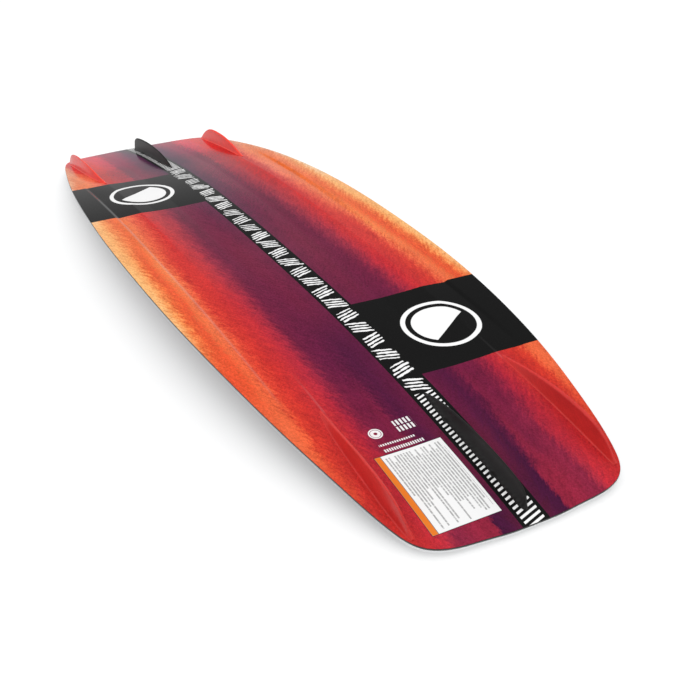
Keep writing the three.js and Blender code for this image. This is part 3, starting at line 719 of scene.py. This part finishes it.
def weave_material(name, dark, pale, cell, rough):
    net = Net(name)
    x, y, z = net.place()
    a = net.math("SINE", x * (math.pi / cell))
    b = net.math("SINE", y * (math.pi / cell))
    over = net.rise(a * b, -0.25, 0.25)
    fibre = net.noise(net.xyz(x / 6.0, y / 0.22, 0.0), detail=1.0) * over + net.noise(net.xyz(x / 0.22, y / 6.0, 0.0), detail=1.0) * (1.0 - over)
    resin = net.noise(net.xyz(x / 25.0, y / 25.0, z / 4.0), detail=3.0)
    colour = net.mix(fibre * 0.7 + resin * 0.3, lin(dark), lin(pale))
    net.set(colour=colour, rough=resin * 0.15 + rough, normal=net.bump(a * b * 0.5 + fibre, 0.3, 0.0002))
    return net.mat


MAT_LAMINATE = weave_material("glass_laminate", (118, 124, 112), (206, 211, 198), 3.0, 0.34)
MAT_EDGE_GLASS = weave_material("laminate_edge", (80, 82, 81), (116, 118, 116), 3.0, 0.4)


def core_material():
    net = Net("core_foam")
    x, y, z = net.place()
    cells = net.voronoi(net.xyz(x / 1.1, y / 1.1, z / 1.1))
    big = net.noise(net.xyz(x / 60.0, y / 60.0, z / 20.0), detail=3.0)
    colour = net.mix(net.rise(cells + (big - 0.5) * 0.6, 0.1, 0.7), lin((236, 227, 196)), lin((205, 190, 150)))
    net.set(colour=colour, rough=0.85, normal=net.bump(cells, 0.5, 0.0004))
    return net.mat


MAT_CORE = core_material()


def sidewall_material():
    """Moulded rail, with the trimming cutter's fine lines and faint mottling; painted shade makes it grey along the
    sides, and painted light makes it paler at the tips.
    """
    net = Net("sidewall_urethane")
    x, y, z = net.place()
    mottle = net.noise(net.xyz(x / 40.0, y / 40.0, z / 8.0), detail=4.0, rough=0.6)
    lines = net.noise(net.xyz(x / 60.0, y / 60.0, z / 0.35), detail=2.0)
    grain = net.noise(net.xyz(x / 0.9, y / 0.9, z / 0.9), detail=2.0)
    # painted shade: the grey along the sides; painted light: the pale tips
    body = net.mix(mottle * 0.6 + grain * 0.4, lin((184, 187, 190)), lin((210, 212, 214)))
    tip = net.mix(mottle * 0.6 + grain * 0.4, lin((238, 240, 242)), lin((251, 252, 252)))
    colour = net.mix(net.rise(net.math("ABSOLUTE", x), 540.0, 612.0), body, tip)
    net.set(colour=colour, rough=0.34 + (mottle - 0.5) * 0.12, normal=net.bump(lines * 0.6 + grain * 0.4, 0.18, 0.0002))
    return net.mat


MAT_RAIL = sidewall_material()


def deck_material():
    """Deck: satin charcoal with a fine woven print, warm streaks that run out at the tips, plain pad outlines."""
    net = Net("deck_print")
    x, y, z = net.place()
    ax, ay = net.math("ABSOLUTE", x), net.math("ABSOLUTE", y)
    bristle = net.noise(net.xyz((x * 0.88 - ay * 0.48) / 15.0, (x * 0.48 + ay * 0.88) / 3.0, 4.0), detail=3.0, rough=0.6) - 0.5
    warp = net.noise(net.xyz(x / 130.0, y / 34.0, 11.0), detail=2.0) - 0.5
    grain = net.noise(net.xyz(x / 1.3, y / 1.3, 0.0), detail=2.0) - 0.5
    fac = (ay + warp * 22.0 + bristle * 14.0 + ax * 0.11) / 205.0
    fade = net.ramp(fac, [(0.0, lin((30, 29, 31))), (0.55, lin((34, 33, 35))), (0.68, lin((58, 40, 50))), (0.76, lin((92, 38, 54))),
                          (0.84, lin((70, 40, 46))), (0.93, lin((44, 40, 42))), (1.0, lin((38, 37, 39)))])
    colour = net.scaled(fade, 1.0 + bristle * 0.3 + grain * 0.4)
    twill = net.math("SINE", (x + y) * (math.pi / 1.6))
    # pad outlines and the centre line
    px = net.math("ABSOLUTE", ax - 230.0)
    rim = net.math("MAXIMUM", px - 78.0, ay - 119.0)
    outline = net.within(rim, -1.6, 0.0, 0.2)
    mid = net.rise(ay, 1.2, 0.9) * net.rise(px, 95.0, 96.0)
    colour = net.mix(net.math("MINIMUM", outline + mid, 1.0) * 0.8, colour, lin((150, 148, 146)))
    scuff = net.noise(net.xyz(x / 90.0, y / 4.0, 2.0), detail=4.0, rough=0.65)
    net.set(colour=colour, rough=scuff * 0.16 + 0.27, normal=net.bump(twill * 0.5 + grain, 0.14, 0.0002))
    return net.mat


MAT_DECK = deck_material()


def side_fin_material():
    """Side fins: moulded with the base, in its red, deeper on the flanks and brighter on the crest, both painted light
    that follows which way the surface faces.
    """
    net = Net("side_fin_skin")
    x, y, z = net.place()
    ax, ay = net.math("ABSOLUTE", x), net.math("ABSOLUTE", y)
    along, across = x * 0.88 - z * 0.48, x * 0.48 + z * 0.88
    bristle = net.noise(net.xyz(along / 13.0, across / 2.7, y / 5.0), detail=3.0, rough=0.6) - 0.5
    grain = net.noise(net.xyz(x / 1.5, y / 1.5, z / 1.5), detail=2.0, rough=0.7) - 0.5
    cloud = net.noise(net.xyz(x / 40.0, y / 12.0, z / 14.0), detail=3.0) - 0.5
    geo = net.tree.nodes.new("ShaderNodeNewGeometry")
    n = net.tree.nodes.new("ShaderNodeSeparateXYZ")
    net.tree.links.new(geo.outputs["Normal"], n.inputs[0])
    up = F(net, n.outputs[2])
    # painted highlight: faces that turn up, along the crest, are painted brighter than the flanks
    crest = net.rise(up + bristle * 0.1, 0.45, 0.95)
    near = net.mix(crest, albedo((213, 54, 52)), albedo((212, 58, 55)))
    far = net.mix(crest, albedo((246, 60, 50)), albedo((255, 80, 66)))
    colour = net.mix(net.rise(x, -100.0, 100.0), far, near)
    colour = net.scaled(colour, 1.0 + bristle * 0.3 + grain * 0.4 + cloud * 0.3)
    peel = net.noise(net.xyz(x / 5.0, y / 5.0, z / 5.0), detail=1.0)
    net.set(colour=colour, rough=0.25 + cloud * 0.06, ior=1.45, normal=net.bump(peel, 0.06, 0.0002))
    return net.mat


MAT_SIDE_FIN = side_fin_material()


def centre_fin_material():
    net = Net("centre_fin_nylon")
    x, y, z = net.place()
    mould = net.noise(net.xyz(x / 0.55, y / 0.55, z / 0.55), detail=3.0, rough=0.65)
    flow = net.noise(net.xyz(x / 55.0, y / 9.0, z / 9.0), detail=3.0)
    colour = net.mix(flow * 0.6 + mould * 0.4, lin((27, 27, 27)), lin((41, 41, 41)))
    net.set(colour=colour, rough=0.44 + (mould - 0.5) * 0.2, ior=1.4, normal=net.bump(mould, 0.14, 0.0002))
    return net.mat


MAT_CENTRE_FIN = centre_fin_material()


def turned_metal(name, dark, pale, rough):
    """Machined metal: turning lines round the axis, light stains, slightly uneven gloss."""
    net = Net(name)
    x, y, z = net.place()
    r = net.length(x, y)
    rings = net.noise(net.xyz(r / 0.12, z / 0.12, 0.0), detail=2.0)
    stain = net.noise(net.xyz(x / 3.0, y / 3.0, z / 3.0), detail=4.0, rough=0.6)
    colour = net.mix(stain * 0.6 + rings * 0.4, lin(dark), lin(pale))
    net.set(colour=colour, rough=rings * 0.14 + stain * 0.16 + rough, normal=net.bump(rings, 0.16, 0.00008))
    net.bsdf.inputs["Metallic"].default_value = 1.0
    return net.mat


MAT_STEEL = turned_metal("stainless_turned", (150, 152, 156), (205, 207, 210), 0.16)
MAT_BRASS = turned_metal("brass_turned", (150, 116, 62), (206, 170, 102), 0.18)
MAT_NYLON = plain("ferrule_nylon", (38, 38, 40), (56, 56, 58), (4, 4, 4), 0.5, grain=0.6, bump=0.25)

# ------------------------------------------------------------------ the laminate
rim0 = lambda d: (lambda x: np.full(np.shape(x), float(d)))
fine = plan_grid(rim0(0.35), 119.0, OUT_FINE)
base = slab("base_sheet_printed", fine, base_z, lambda x, y: base_z(x, y) - BASE_SHEET, 0.35, [MAT_BASE, MAT_EDGE])
place(base, "base_sheet", "base_sheet")

coarse = plan_grid(rim0(0.5), 119.0, OUT_FINE, dx=9.0, ntip=18)
lam = slab("bottom_laminate_glass", coarse, lambda x, y: base_z(x, y) - BASE_SHEET - GAP,
           lambda x, y: base_z(x, y) - BASE_SHEET - GAP - LAMINATE, 0.3, [MAT_EDGE_GLASS, MAT_EDGE_GLASS])
place(lam, "bottom_laminate", "laminate")

deck_grid = plan_grid(lambda x: bevel(x) + RAIL_LAND + GAP + 0.25, 107.0, OUT_PLAIN, dx=4.5, xl=534.0, ntip=22)
deck = slab("deck_sheet_printed", deck_grid, lambda x, y: deck_z(x, y) + TOP_SHEET, deck_z, 0.0001, [MAT_DECK, MAT_DECK])


def insert_matrix(end, row, k):
    u = PAD_X + (k - (PER_ROW - 1) / 2) * PITCH
    n = Vector((end * PAD_SLOPE, 0, -1)).normalized()
    q = Vector((0, 0, 1)).rotation_difference(n)
    at = Vector((end * u, row * ROW, PAD_Z + PAD_SLOPE * (u - PAD_X) + SHIFT)) / 1000.0
    return Matrix.Translation(at) @ q.to_matrix().to_4x4()


_slope = float(rocker(FIN_MID + 1) - rocker(FIN_MID - 1)) / 2
TILT = math.atan(_slope)


def fin_matrix(end, u):
    n = Vector((-end * math.sin(TILT), 0, math.cos(TILT)))
    q = Vector((0, 0, 1)).rotation_difference(n)
    at = Vector((end * u, 0, float(base_z(u, 0)) + SHIFT)) / 1000.0
    return Matrix.Translation(at) @ q.to_matrix().to_4x4()


def board_depth(u):
    t = 0.0
    for _ in range(40):
        x = u + math.sin(TILT) * t
        t = float(base_z(u, 0) - deck_z(x, 0)) / math.cos(TILT)
    return t


# holes in the deck sheet
cutters = []
for end in (-1, 1):
    for row in (-1, 1):
        for k in range(PER_ROW):
            cutters.append((insert_matrix(end, row, k), 4.9, -6.0, 4.0))
    for u in FIN_SCREWS:
        cutters.append((fin_matrix(end, u), 7.5, -board_depth(u) - 6, -board_depth(u) + 3.4))
bm = bmesh.new()
for M, r, z0, z1 in cutters:
    ring0 = [bm.verts.new(M @ Vector((r * math.cos(a), r * math.sin(a), z0)) if False else M @ (Vector((r * math.cos(a), r * math.sin(a), z0)) / 1000.0)) for a in np.linspace(0, 2 * math.pi, 40, endpoint=False)]
    ring1 = [bm.verts.new(M @ (Vector((r * math.cos(a), r * math.sin(a), z1)) / 1000.0)) for a in np.linspace(0, 2 * math.pi, 40, endpoint=False)]
    bm.faces.new(ring0[::-1])
    bm.faces.new(ring1)
    for k in range(40):
        k2 = (k + 1) % 40
        bm.faces.new([ring0[k], ring0[k2], ring1[k2], ring1[k]])
cut_mesh = bpy.data.meshes.new("cutters")
bm.to_mesh(cut_mesh)
bm.free()
cut_ob = bpy.data.objects.new("cutters", cut_mesh)
bpy.context.scene.collection.objects.link(cut_ob)
mod = deck.modifiers.new("holes", "BOOLEAN")
mod.operation, mod.solver, mod.object = "DIFFERENCE", "EXACT", cut_ob
dg = bpy.context.evaluated_depsgraph_get()
holed = bpy.data.meshes.new_from_object(deck.evaluated_get(dg))
deck.modifiers.clear()
old = deck.data
deck.data = holed
bpy.data.meshes.remove(old)
bpy.data.objects.remove(cut_ob)
bpy.data.meshes.remove(cut_mesh)
if not len(deck.data.materials):
    deck.data.materials.append(MAT_DECK)
place(deck, "top_sheet", "top_sheet")

# ------------------------------------------------------------------ the rails
def rail_object(side):
    n = 300
    s = np.linspace(0, _len, n)
    q = _at(s)
    q[:, 0] = np.minimum(q[:, 0], HALF_LENGTH)
    t = np.stack([np.interp(s, np.linspace(0, _len, len(_t)), _t[:, i]) for i in (0, 1)], 1)
    t /= np.linalg.norm(t, axis=1)[:, None]
    inn = np.stack([t[:, 1], -t[:, 0]], 1)
    inn[-1] = (-1, 0)
    P = np.vstack([q[::-1], q[1:] * (-1, 1)])
    N = np.vstack([inn[::-1], inn[1:] * (-1, 1)])
    P[:, 1] *= side
    N[:, 1] *= side
    sections = []
    last = len(P) - 1
    for i, (p, nn) in enumerate(zip(P, N)):
        b = float(bevel(p[0]))
        at = lambda d: p + nn * d
        zb = lambda d: float(base_z(*at(d)))
        zd = lambda d: float(deck_z(*at(d)))
        poly = [(0, zb(0) - CORE_TOP), (0, zb(0) - LIP), (b, zd(b)), (b + RAIL_LAND, zd(b + RAIL_LAND)),
                (b + RAIL_LAND, zd(b + RAIL_LAND) + CORE_BOTTOM + 0.2), (b + RAIL_SEAT, zd(b + RAIL_SEAT) + CORE_BOTTOM + 0.2),
                (b + RAIL_SEAT, zb(b + RAIL_SEAT) - CORE_TOP)]
        rp = rounded(poly, [0.5, 1.6, 2.6, 0.25, 0.2, 0.2, 0.2])
        xy = np.array([at(d) for d in rp[:, 0]])
        if i in (0, last):
            xy[:, 1] = side * 0.15
        else:
            xy[:, 1] = side * np.maximum(side * xy[:, 1], 0.15)
        sections.append(np.column_stack([xy, rp[:, 1] + SHIFT]))
    v, f = tube(sections)
    ob = mesh_object("sidewall_left_moulded" if side < 0 else "sidewall_right_moulded", v, f, [MAT_RAIL])
    recalc(ob)
    crisp(ob)
    return place(ob, "sidewall_left" if side < 0 else "sidewall_right", "sidewall")


for side in (-1, 1):
    rail_object(side)

# ------------------------------------------------------------------ side fins
SIDE_FIN = np.array([
    [388, 120.2, 121.0, 122.0, 122.8, 123.6, 0.5],
    [412, 119.8, 122.2, 124.6, 126.4, 127.4, 5.0],
    [450, 120.2, 124.0, 127.2, 129.4, 130.8, 12.4],
    [500, 121.2, 125.2, 128.8, 131.0, 132.2, 19.4],
    [540, 122.0, 125.8, 129.2, 131.2, 132.2, 21.8],
    [556, 122.4, 126.0, 129.0, 131.0, 131.8, 20.6],
    [569, 122.8, 126.0, 128.6, 130.2, 131.2, 17.0],
    [580, 123.2, 125.8, 128.0, 129.4, 130.2, 11.5],
    [588, 123.6, 125.4, 127.2, 128.4, 129.2, 5.5],
    [594, 124.2, 125.2, 126.4, 127.4, 128.0, 0.8]])


def monotone(xs, ys, q):
    """Smooth curve through points that keeps their rises and falls."""
    h, d = np.diff(xs), np.diff(ys) / np.diff(xs)
    m = np.zeros(len(xs))
    for i in range(1, len(xs) - 1):
        if d[i - 1] * d[i] > 0:
            w1, w2 = 2 * h[i] + h[i - 1], h[i] + 2 * h[i - 1]
            m[i] = (w1 + w2) / (w1 / d[i - 1] + w2 / d[i])
    m[0], m[-1] = d[0], d[-1]
    i = np.clip(np.searchsorted(xs, q) - 1, 0, len(xs) - 2)
    t = (q - xs[i]) / h[i]
    return ((2 * t**3 - 3 * t**2 + 1) * ys[i] + (t**3 - 2 * t**2 + t) * h[i] * m[i]
            + (-2 * t**3 + 3 * t**2) * ys[i + 1] + (t**3 - t**2) * h[i] * m[i + 1])


def side_fin(end, side):
    u = np.concatenate([np.linspace(388, 560, 59), np.linspace(562, 586, 13), np.linspace(587, 594, 9)])
    cols = [monotone(SIDE_FIN[:, 0], SIDE_FIN[:, c], u) for c in range(1, 7)]
    sections = []
    for k, uu in enumerate(u):
        ri, ci, co, fo, ro, h = [c[k] for c in cols]
        foot = min(1.4, 0.35 * h + 0.1)
        z0 = float(base_z(uu, (ri + ro) / 2))
        zi, zo = float(base_z(uu, ri - foot)), float(base_z(uu, ro + foot))
        # a small fillet at the root, an eased crest
        poly = [(ri - foot, zi + 0.02), (ri - foot * 0.3, z0 + foot * 0.25), (ri + (ci - ri) * 0.07, z0 + foot * 0.9),
                (ci, z0 + GAP + h * 0.93), (co, z0 + GAP + h), (fo, z0 + GAP + h * 0.42),
                (ro - (ro - fo) * 0.15, z0 + foot * 0.9), (ro + foot * 0.3, z0 + foot * 0.25), (ro + foot, zo + 0.02),
                (ro + foot * 0.5, z0 - 0.35), (ri - foot * 0.5, z0 - 0.35)]
        r = min(1.1, (co - ci) * 0.42)
        rp = rounded(poly, [0.2, 0.8, 0.8, r, r, 1.2, 0.8, 0.8, 0.2, 0, 0], steps=3)
        sections.append(np.column_stack([np.full(len(rp), end * uu), side * rp[:, 0], rp[:, 1] + SHIFT]))
    v, f = tube(sections)
    foot_name = "rear" if end < 0 else "front"
    side_name = "left" if side < 0 else "right"
    ob = mesh_object(f"side_fin_{foot_name}_{side_name}_moulded", v, f, [MAT_SIDE_FIN])
    recalc(ob)
    crisp(ob)
    return place(ob, f"side_fin_{foot_name}_{side_name}", "side_fin")


for end in (-1, 1):
    for side in (-1, 1):
        side_fin(end, side)

# ------------------------------------------------------------------ centre fins
FIN_PROFILE = np.array([[408, .6], [418, 4.5], [440, 10.8], [465, 16.2], [490, 19.4], [515, 21.8],
                        [540, 23.2], [565, 23.8], [585, 23.2], [597, 20.6], [604, 14], [607.5, 3]])


def centre_fin(end):
    u = np.concatenate([np.linspace(408, 570, 66), np.linspace(572, 598, 16), np.linspace(598.8, 607.5, 14)])
    hs = monotone(FIN_PROFILE[:, 0], FIN_PROFILE[:, 1], u)
    sections = []
    for uu, h in zip(u, hs):
        root = float(np.clip(0.8 + 2.7 * min(h / 12, (609 - uu) / 9), 0.8, 3.5))
        crest = float(np.clip(root * 0.42, 0.5, 1.25))
        z0 = float(base_z(uu, 0))
        foot = min(1.3, 0.3 * h)
        half = [(root + foot, 0.04), (root + foot * 0.45, foot * 0.18), (root + foot * 0.1, foot * 0.6), (root, foot * 1.1)]
        for t in (0.16, 0.3, 0.45, 0.6, 0.74, 0.85, 0.92):
            half.append((crest + (root - crest) * (1 - t) ** 0.8, h * t))
        for a in (15, 35, 55, 75):
            half.append((crest * math.cos(math.radians(a)), h * 0.945 + h * 0.055 * math.sin(math.radians(a))))
        pts = half + [(0.0, h)] + [(-w, z) for w, z in half[::-1]] + [(-root, -0.3), (root, -0.3)]
        sections.append(np.array([[end * uu, w, z0 + GAP * min(1.0, z / 2.0 if z > 0 else 0) + z + SHIFT] for w, z in pts]))
    v, f = tube(sections)
    name = "rear" if end < 0 else "front"
    ob = mesh_object(f"centre_fin_{name}_moulded", v, f, [MAT_CENTRE_FIN])
    # the two collars that close the holes through the base
    bm = bmesh.new()
    bm.from_mesh(ob.data)
    for uu in FIN_SCREWS:
        M = fin_matrix(end, uu)
        vs, fs = lathe([(0, 1.15), (5.7, 1.15), (6.2, 1.05), (6.5, 0.8), (6.6, 0.45), (6.9, 0.12), (7.1, -0.25), (0, -0.25)], 48)
        nv = [bm.verts.new(M @ (Vector(p) / 1000.0)) for p in vs]
        for q in fs:
            bm.faces.new([nv[i] for i in q])
    for q in bm.faces:
        q.smooth = True
    bmesh.ops.recalc_face_normals(bm, faces=bm.faces)
    bm.to_mesh(ob.data)
    bm.free()
    crisp(ob)
    return place(ob, f"centre_fin_{name}", "centre_fin")


for end in (-1, 1):
    centre_fin(end)

# ------------------------------------------------------------------ binding inserts
profile = [(0, -13), (8.2, -13), (8.5, -12.7), (8.5, -11.8), (8.2, -11.5), (4.6, -11.5), (4.5, -11.3), (4.5, -0.45),
           (4.25, -0.2), (3.5, -0.2), (2.95, -0.75)]
z = -0.9
while z > -10.0:                                     # the thread, 1 mm pitch
    profile += [(2.5, z - 0.12), (2.5, z - 0.3), (2.95, z - 0.62), (2.95, z - 0.74)]
    z -= 1.0
profile += [(2.5, -10.6), (2.5, -11), (0, -11)]
v, f = lathe(profile, 36)
insert_mesh = mesh_object("insert_blank", np.array(v), f, [MAT_STEEL])
recalc(insert_mesh)
for end in (-1, 1):
    for row in (-1, 1):
        for k in range(PER_ROW):
            node = f"binding_insert_{'rear' if end < 0 else 'front'}_{'left' if row < 0 else 'right'}_{k + 1}"
            ob = bpy.data.objects.new(node + "_threaded", insert_mesh.data)
            bpy.context.scene.collection.objects.link(ob)
            ob.matrix_world = insert_matrix(end, row, k)
            crisp(ob)
            place(ob, node, "binding_insert")
bpy.data.objects.remove(insert_mesh)

# ------------------------------------------------------------------ fin fasteners
for end in (-1, 1):
    for k, u in enumerate(FIN_SCREWS):
        M = fin_matrix(end, u)
        tag = f"{'rear' if end < 0 else 'front'}_{k + 1}"
        bottom = -board_depth(u) + CORE_BOTTOM - 0.2
        wz = bottom - 0.3
        hz = wz - 1.3
        parts = {
            "fin_ferrule": ([(2.9, bottom), (6.8, bottom), (7.0, bottom + .2), (7.0, bottom + 1.0), (6.8, bottom + 1.2),
                             (5.0, bottom + 1.2), (5.0, -6.35), (2.9, -6.35), (2.9, bottom)], (), MAT_NYLON, "fin_ferrule"),
            "fin_washer": ([(2.9, wz - .9), (3.0, wz - 1), (5.8, wz - 1), (6.0, wz - .8), (6.0, wz - .2), (5.8, wz), (3.0, wz),
                            (2.9, wz - .1), (2.9, wz - .9)], (), MAT_STEEL, "fin_hardware"),
            "fin_screw": ([(0, hz - 0.9), (1.55, hz - 0.9), (1.55, hz - 2.45), (1.7, hz - 2.6), (2.9, hz - 2.6), (3.5, hz - 2.42),
                           (4.1, hz - 1.95), (4.5, hz - 1.3), (4.6, hz - .9), (4.6, hz - .15), (4.45, hz), (2.4, hz),
                           (2.4, -6.6), (1.55, -6.2), (1.55, -1.1), (1.35, -0.9), (0, -0.9)], (1, 2), MAT_STEEL, "fin_hardware"),
        }
        for kind, (prof, hexed, m, slot) in parts.items():
            v, f = lathe(prof, 48, hexed)
            ob = mesh_object(f"{kind}_{tag}_turned", np.array(v), f, [m])
            recalc(ob)
            ob.matrix_world = M
            crisp(ob)
            place(ob, f"{kind}_{tag}", slot)

# ------------------------------------------------------------------ CAD nodes that stay, inside the board
for name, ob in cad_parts.items():
    if ob.hide_render:
        continue
    m = {"core": MAT_CORE, "top_laminate": MAT_LAMINATE}.get(name, MAT_BRASS)
    ob.data.materials.clear()
    ob.data.materials.append(m)

# ------------------------------------------------------------------ stage: floor, soft light, camera
scene = bpy.context.scene
scene.view_settings.view_transform = "Standard"
scene.view_settings.look = "None"

floor_mesh = bpy.data.meshes.new("floor")
R = 14.0
ring = [(R * math.cos(a), R * math.sin(a), 0.0) for a in np.linspace(0, 2 * math.pi, 96, endpoint=False)]
floor_mesh.from_pydata(ring, [], [list(range(96))])
floor = bpy.data.objects.new("floor", floor_mesh)
scene.collection.objects.link(floor)
floor.location.z = -0.0004
net = Net("studio_floor")
x, y, z = net.place()
n = net.noise(net.xyz(x / 900.0, y / 900.0, 0.0), detail=3.0)
geo = net.tree.nodes.new("ShaderNodeNewGeometry")
net.set(colour=net.mix(n, (0.695, 0.697, 0.70), (0.705, 0.705, 0.705)), rough=0.9, spec=0.0)
net.put(net.mix(n, (0.98, 0.985, 0.99), (1.0, 1.0, 1.0)), net.bsdf.inputs["Emission Color"])
net.bsdf.inputs["Emission Strength"].default_value = 0.25      # a light table's glow, which opens the shadow
clear = net.tree.nodes.new("ShaderNodeBsdfTransparent")
mixn = net.tree.nodes.new("ShaderNodeMixShader")
net.tree.links.new(geo.outputs["Backfacing"], mixn.inputs[0])
net.tree.links.new(net.bsdf.outputs[0], mixn.inputs[1])
net.tree.links.new(clear.outputs[0], mixn.inputs[2])
net.tree.links.new(mixn.outputs[0], net.out.inputs[0])
floor_mesh.materials.append(net.mat)
floor.visible_diffuse = False         # the board's underside is lit as over a light table
floor.visible_glossy = False

world = bpy.data.worlds.new("studio")
scene.world = world
world.use_nodes = True
wt = world.node_tree
wt.nodes.clear()
out = wt.nodes.new("ShaderNodeOutputWorld")
bg, bg_cam = wt.nodes.new("ShaderNodeBackground"), wt.nodes.new("ShaderNodeBackground")
tc = wt.nodes.new("ShaderNodeTexCoord")
sep = wt.nodes.new("ShaderNodeSeparateXYZ")
mr = wt.nodes.new("ShaderNodeMapRange")
ramp = wt.nodes.new("ShaderNodeValToRGB")
path = wt.nodes.new("ShaderNodeLightPath")
mixw = wt.nodes.new("ShaderNodeMixShader")
wt.links.new(tc.outputs["Generated"], sep.inputs[0])
wt.links.new(sep.outputs[2], mr.inputs["Value"])
mr.inputs["From Min"].default_value, mr.inputs["From Max"].default_value = -0.3, 1.0
wt.links.new(mr.outputs[0], ramp.inputs[0])
SKY = [(-0.3, 0.92), (-0.2, 0.88), (-0.13, 0.47), (-0.06, 0.455), (0.0, 0.475), (0.06, 0.485), (0.10, 0.46), (0.19, 0.40), (0.282, 0.29), (0.342, 0.19),
       (0.415, 0.11), (0.5, 0.08), (0.6, 0.08), (0.8, 0.10), (0.87, 0.15), (1.0, 0.35)]
el = ramp.color_ramp.elements
el[0].position, el[0].color = 0.0, (SKY[0][1],) * 3 + (1,)
el[1].position, el[1].color = 1.0, (SKY[-1][1],) * 3 + (1,)
for zz, b in SKY[1:-1]:
    e = el.new((zz + 0.3) / 1.3)
    e.color = (b, b, b, 1)
wt.links.new(ramp.outputs[0], bg.inputs["Color"])
bg_cam.inputs["Color"].default_value = (0.985, 0.985, 0.985, 1)
wt.links.new(path.outputs["Is Camera Ray"], mixw.inputs[0])
wt.links.new(bg.outputs[0], mixw.inputs[1])
wt.links.new(bg_cam.outputs[0], mixw.inputs[2])
wt.links.new(mixw.outputs[0], out.inputs[0])

sun_data = bpy.data.lights.new("overhead_softbox", "SUN")
sun_data.energy = 3.3
sun_data.angle = math.radians(134)
sun = bpy.data.objects.new("overhead_softbox", sun_data)
scene.collection.objects.link(sun)
sun.location = (0, 0, 3)
sun.visible_glossy = False

cam_data = bpy.data.cameras.new("camera")
cam = bpy.data.objects.new("camera", cam_data)
scene.collection.objects.link(cam)
az, el_, roll = math.radians(62.317), math.radians(30.40), math.radians(-1.151)
back = Vector((math.sin(az) * math.cos(el_), -math.cos(az) * math.cos(el_), math.sin(el_)))
right = Vector((math.cos(az), math.sin(az), 0))
up = back.cross(right)
c, s = math.cos(roll), math.sin(roll)
r2, u2 = right * c + up * s, right * -s + up * c
M = Matrix((r2, u2, back)).transposed().to_4x4()
M.translation = Vector((1311.66, -567.88, 663.66 + SHIFT)) / 1000.0
cam.matrix_world = M
cam_data.sensor_width = 36.0
cam_data.lens = 1112.23 / 700 * 36.0
cam_data.clip_start, cam_data.clip_end = 0.05, 60
scene.camera = cam
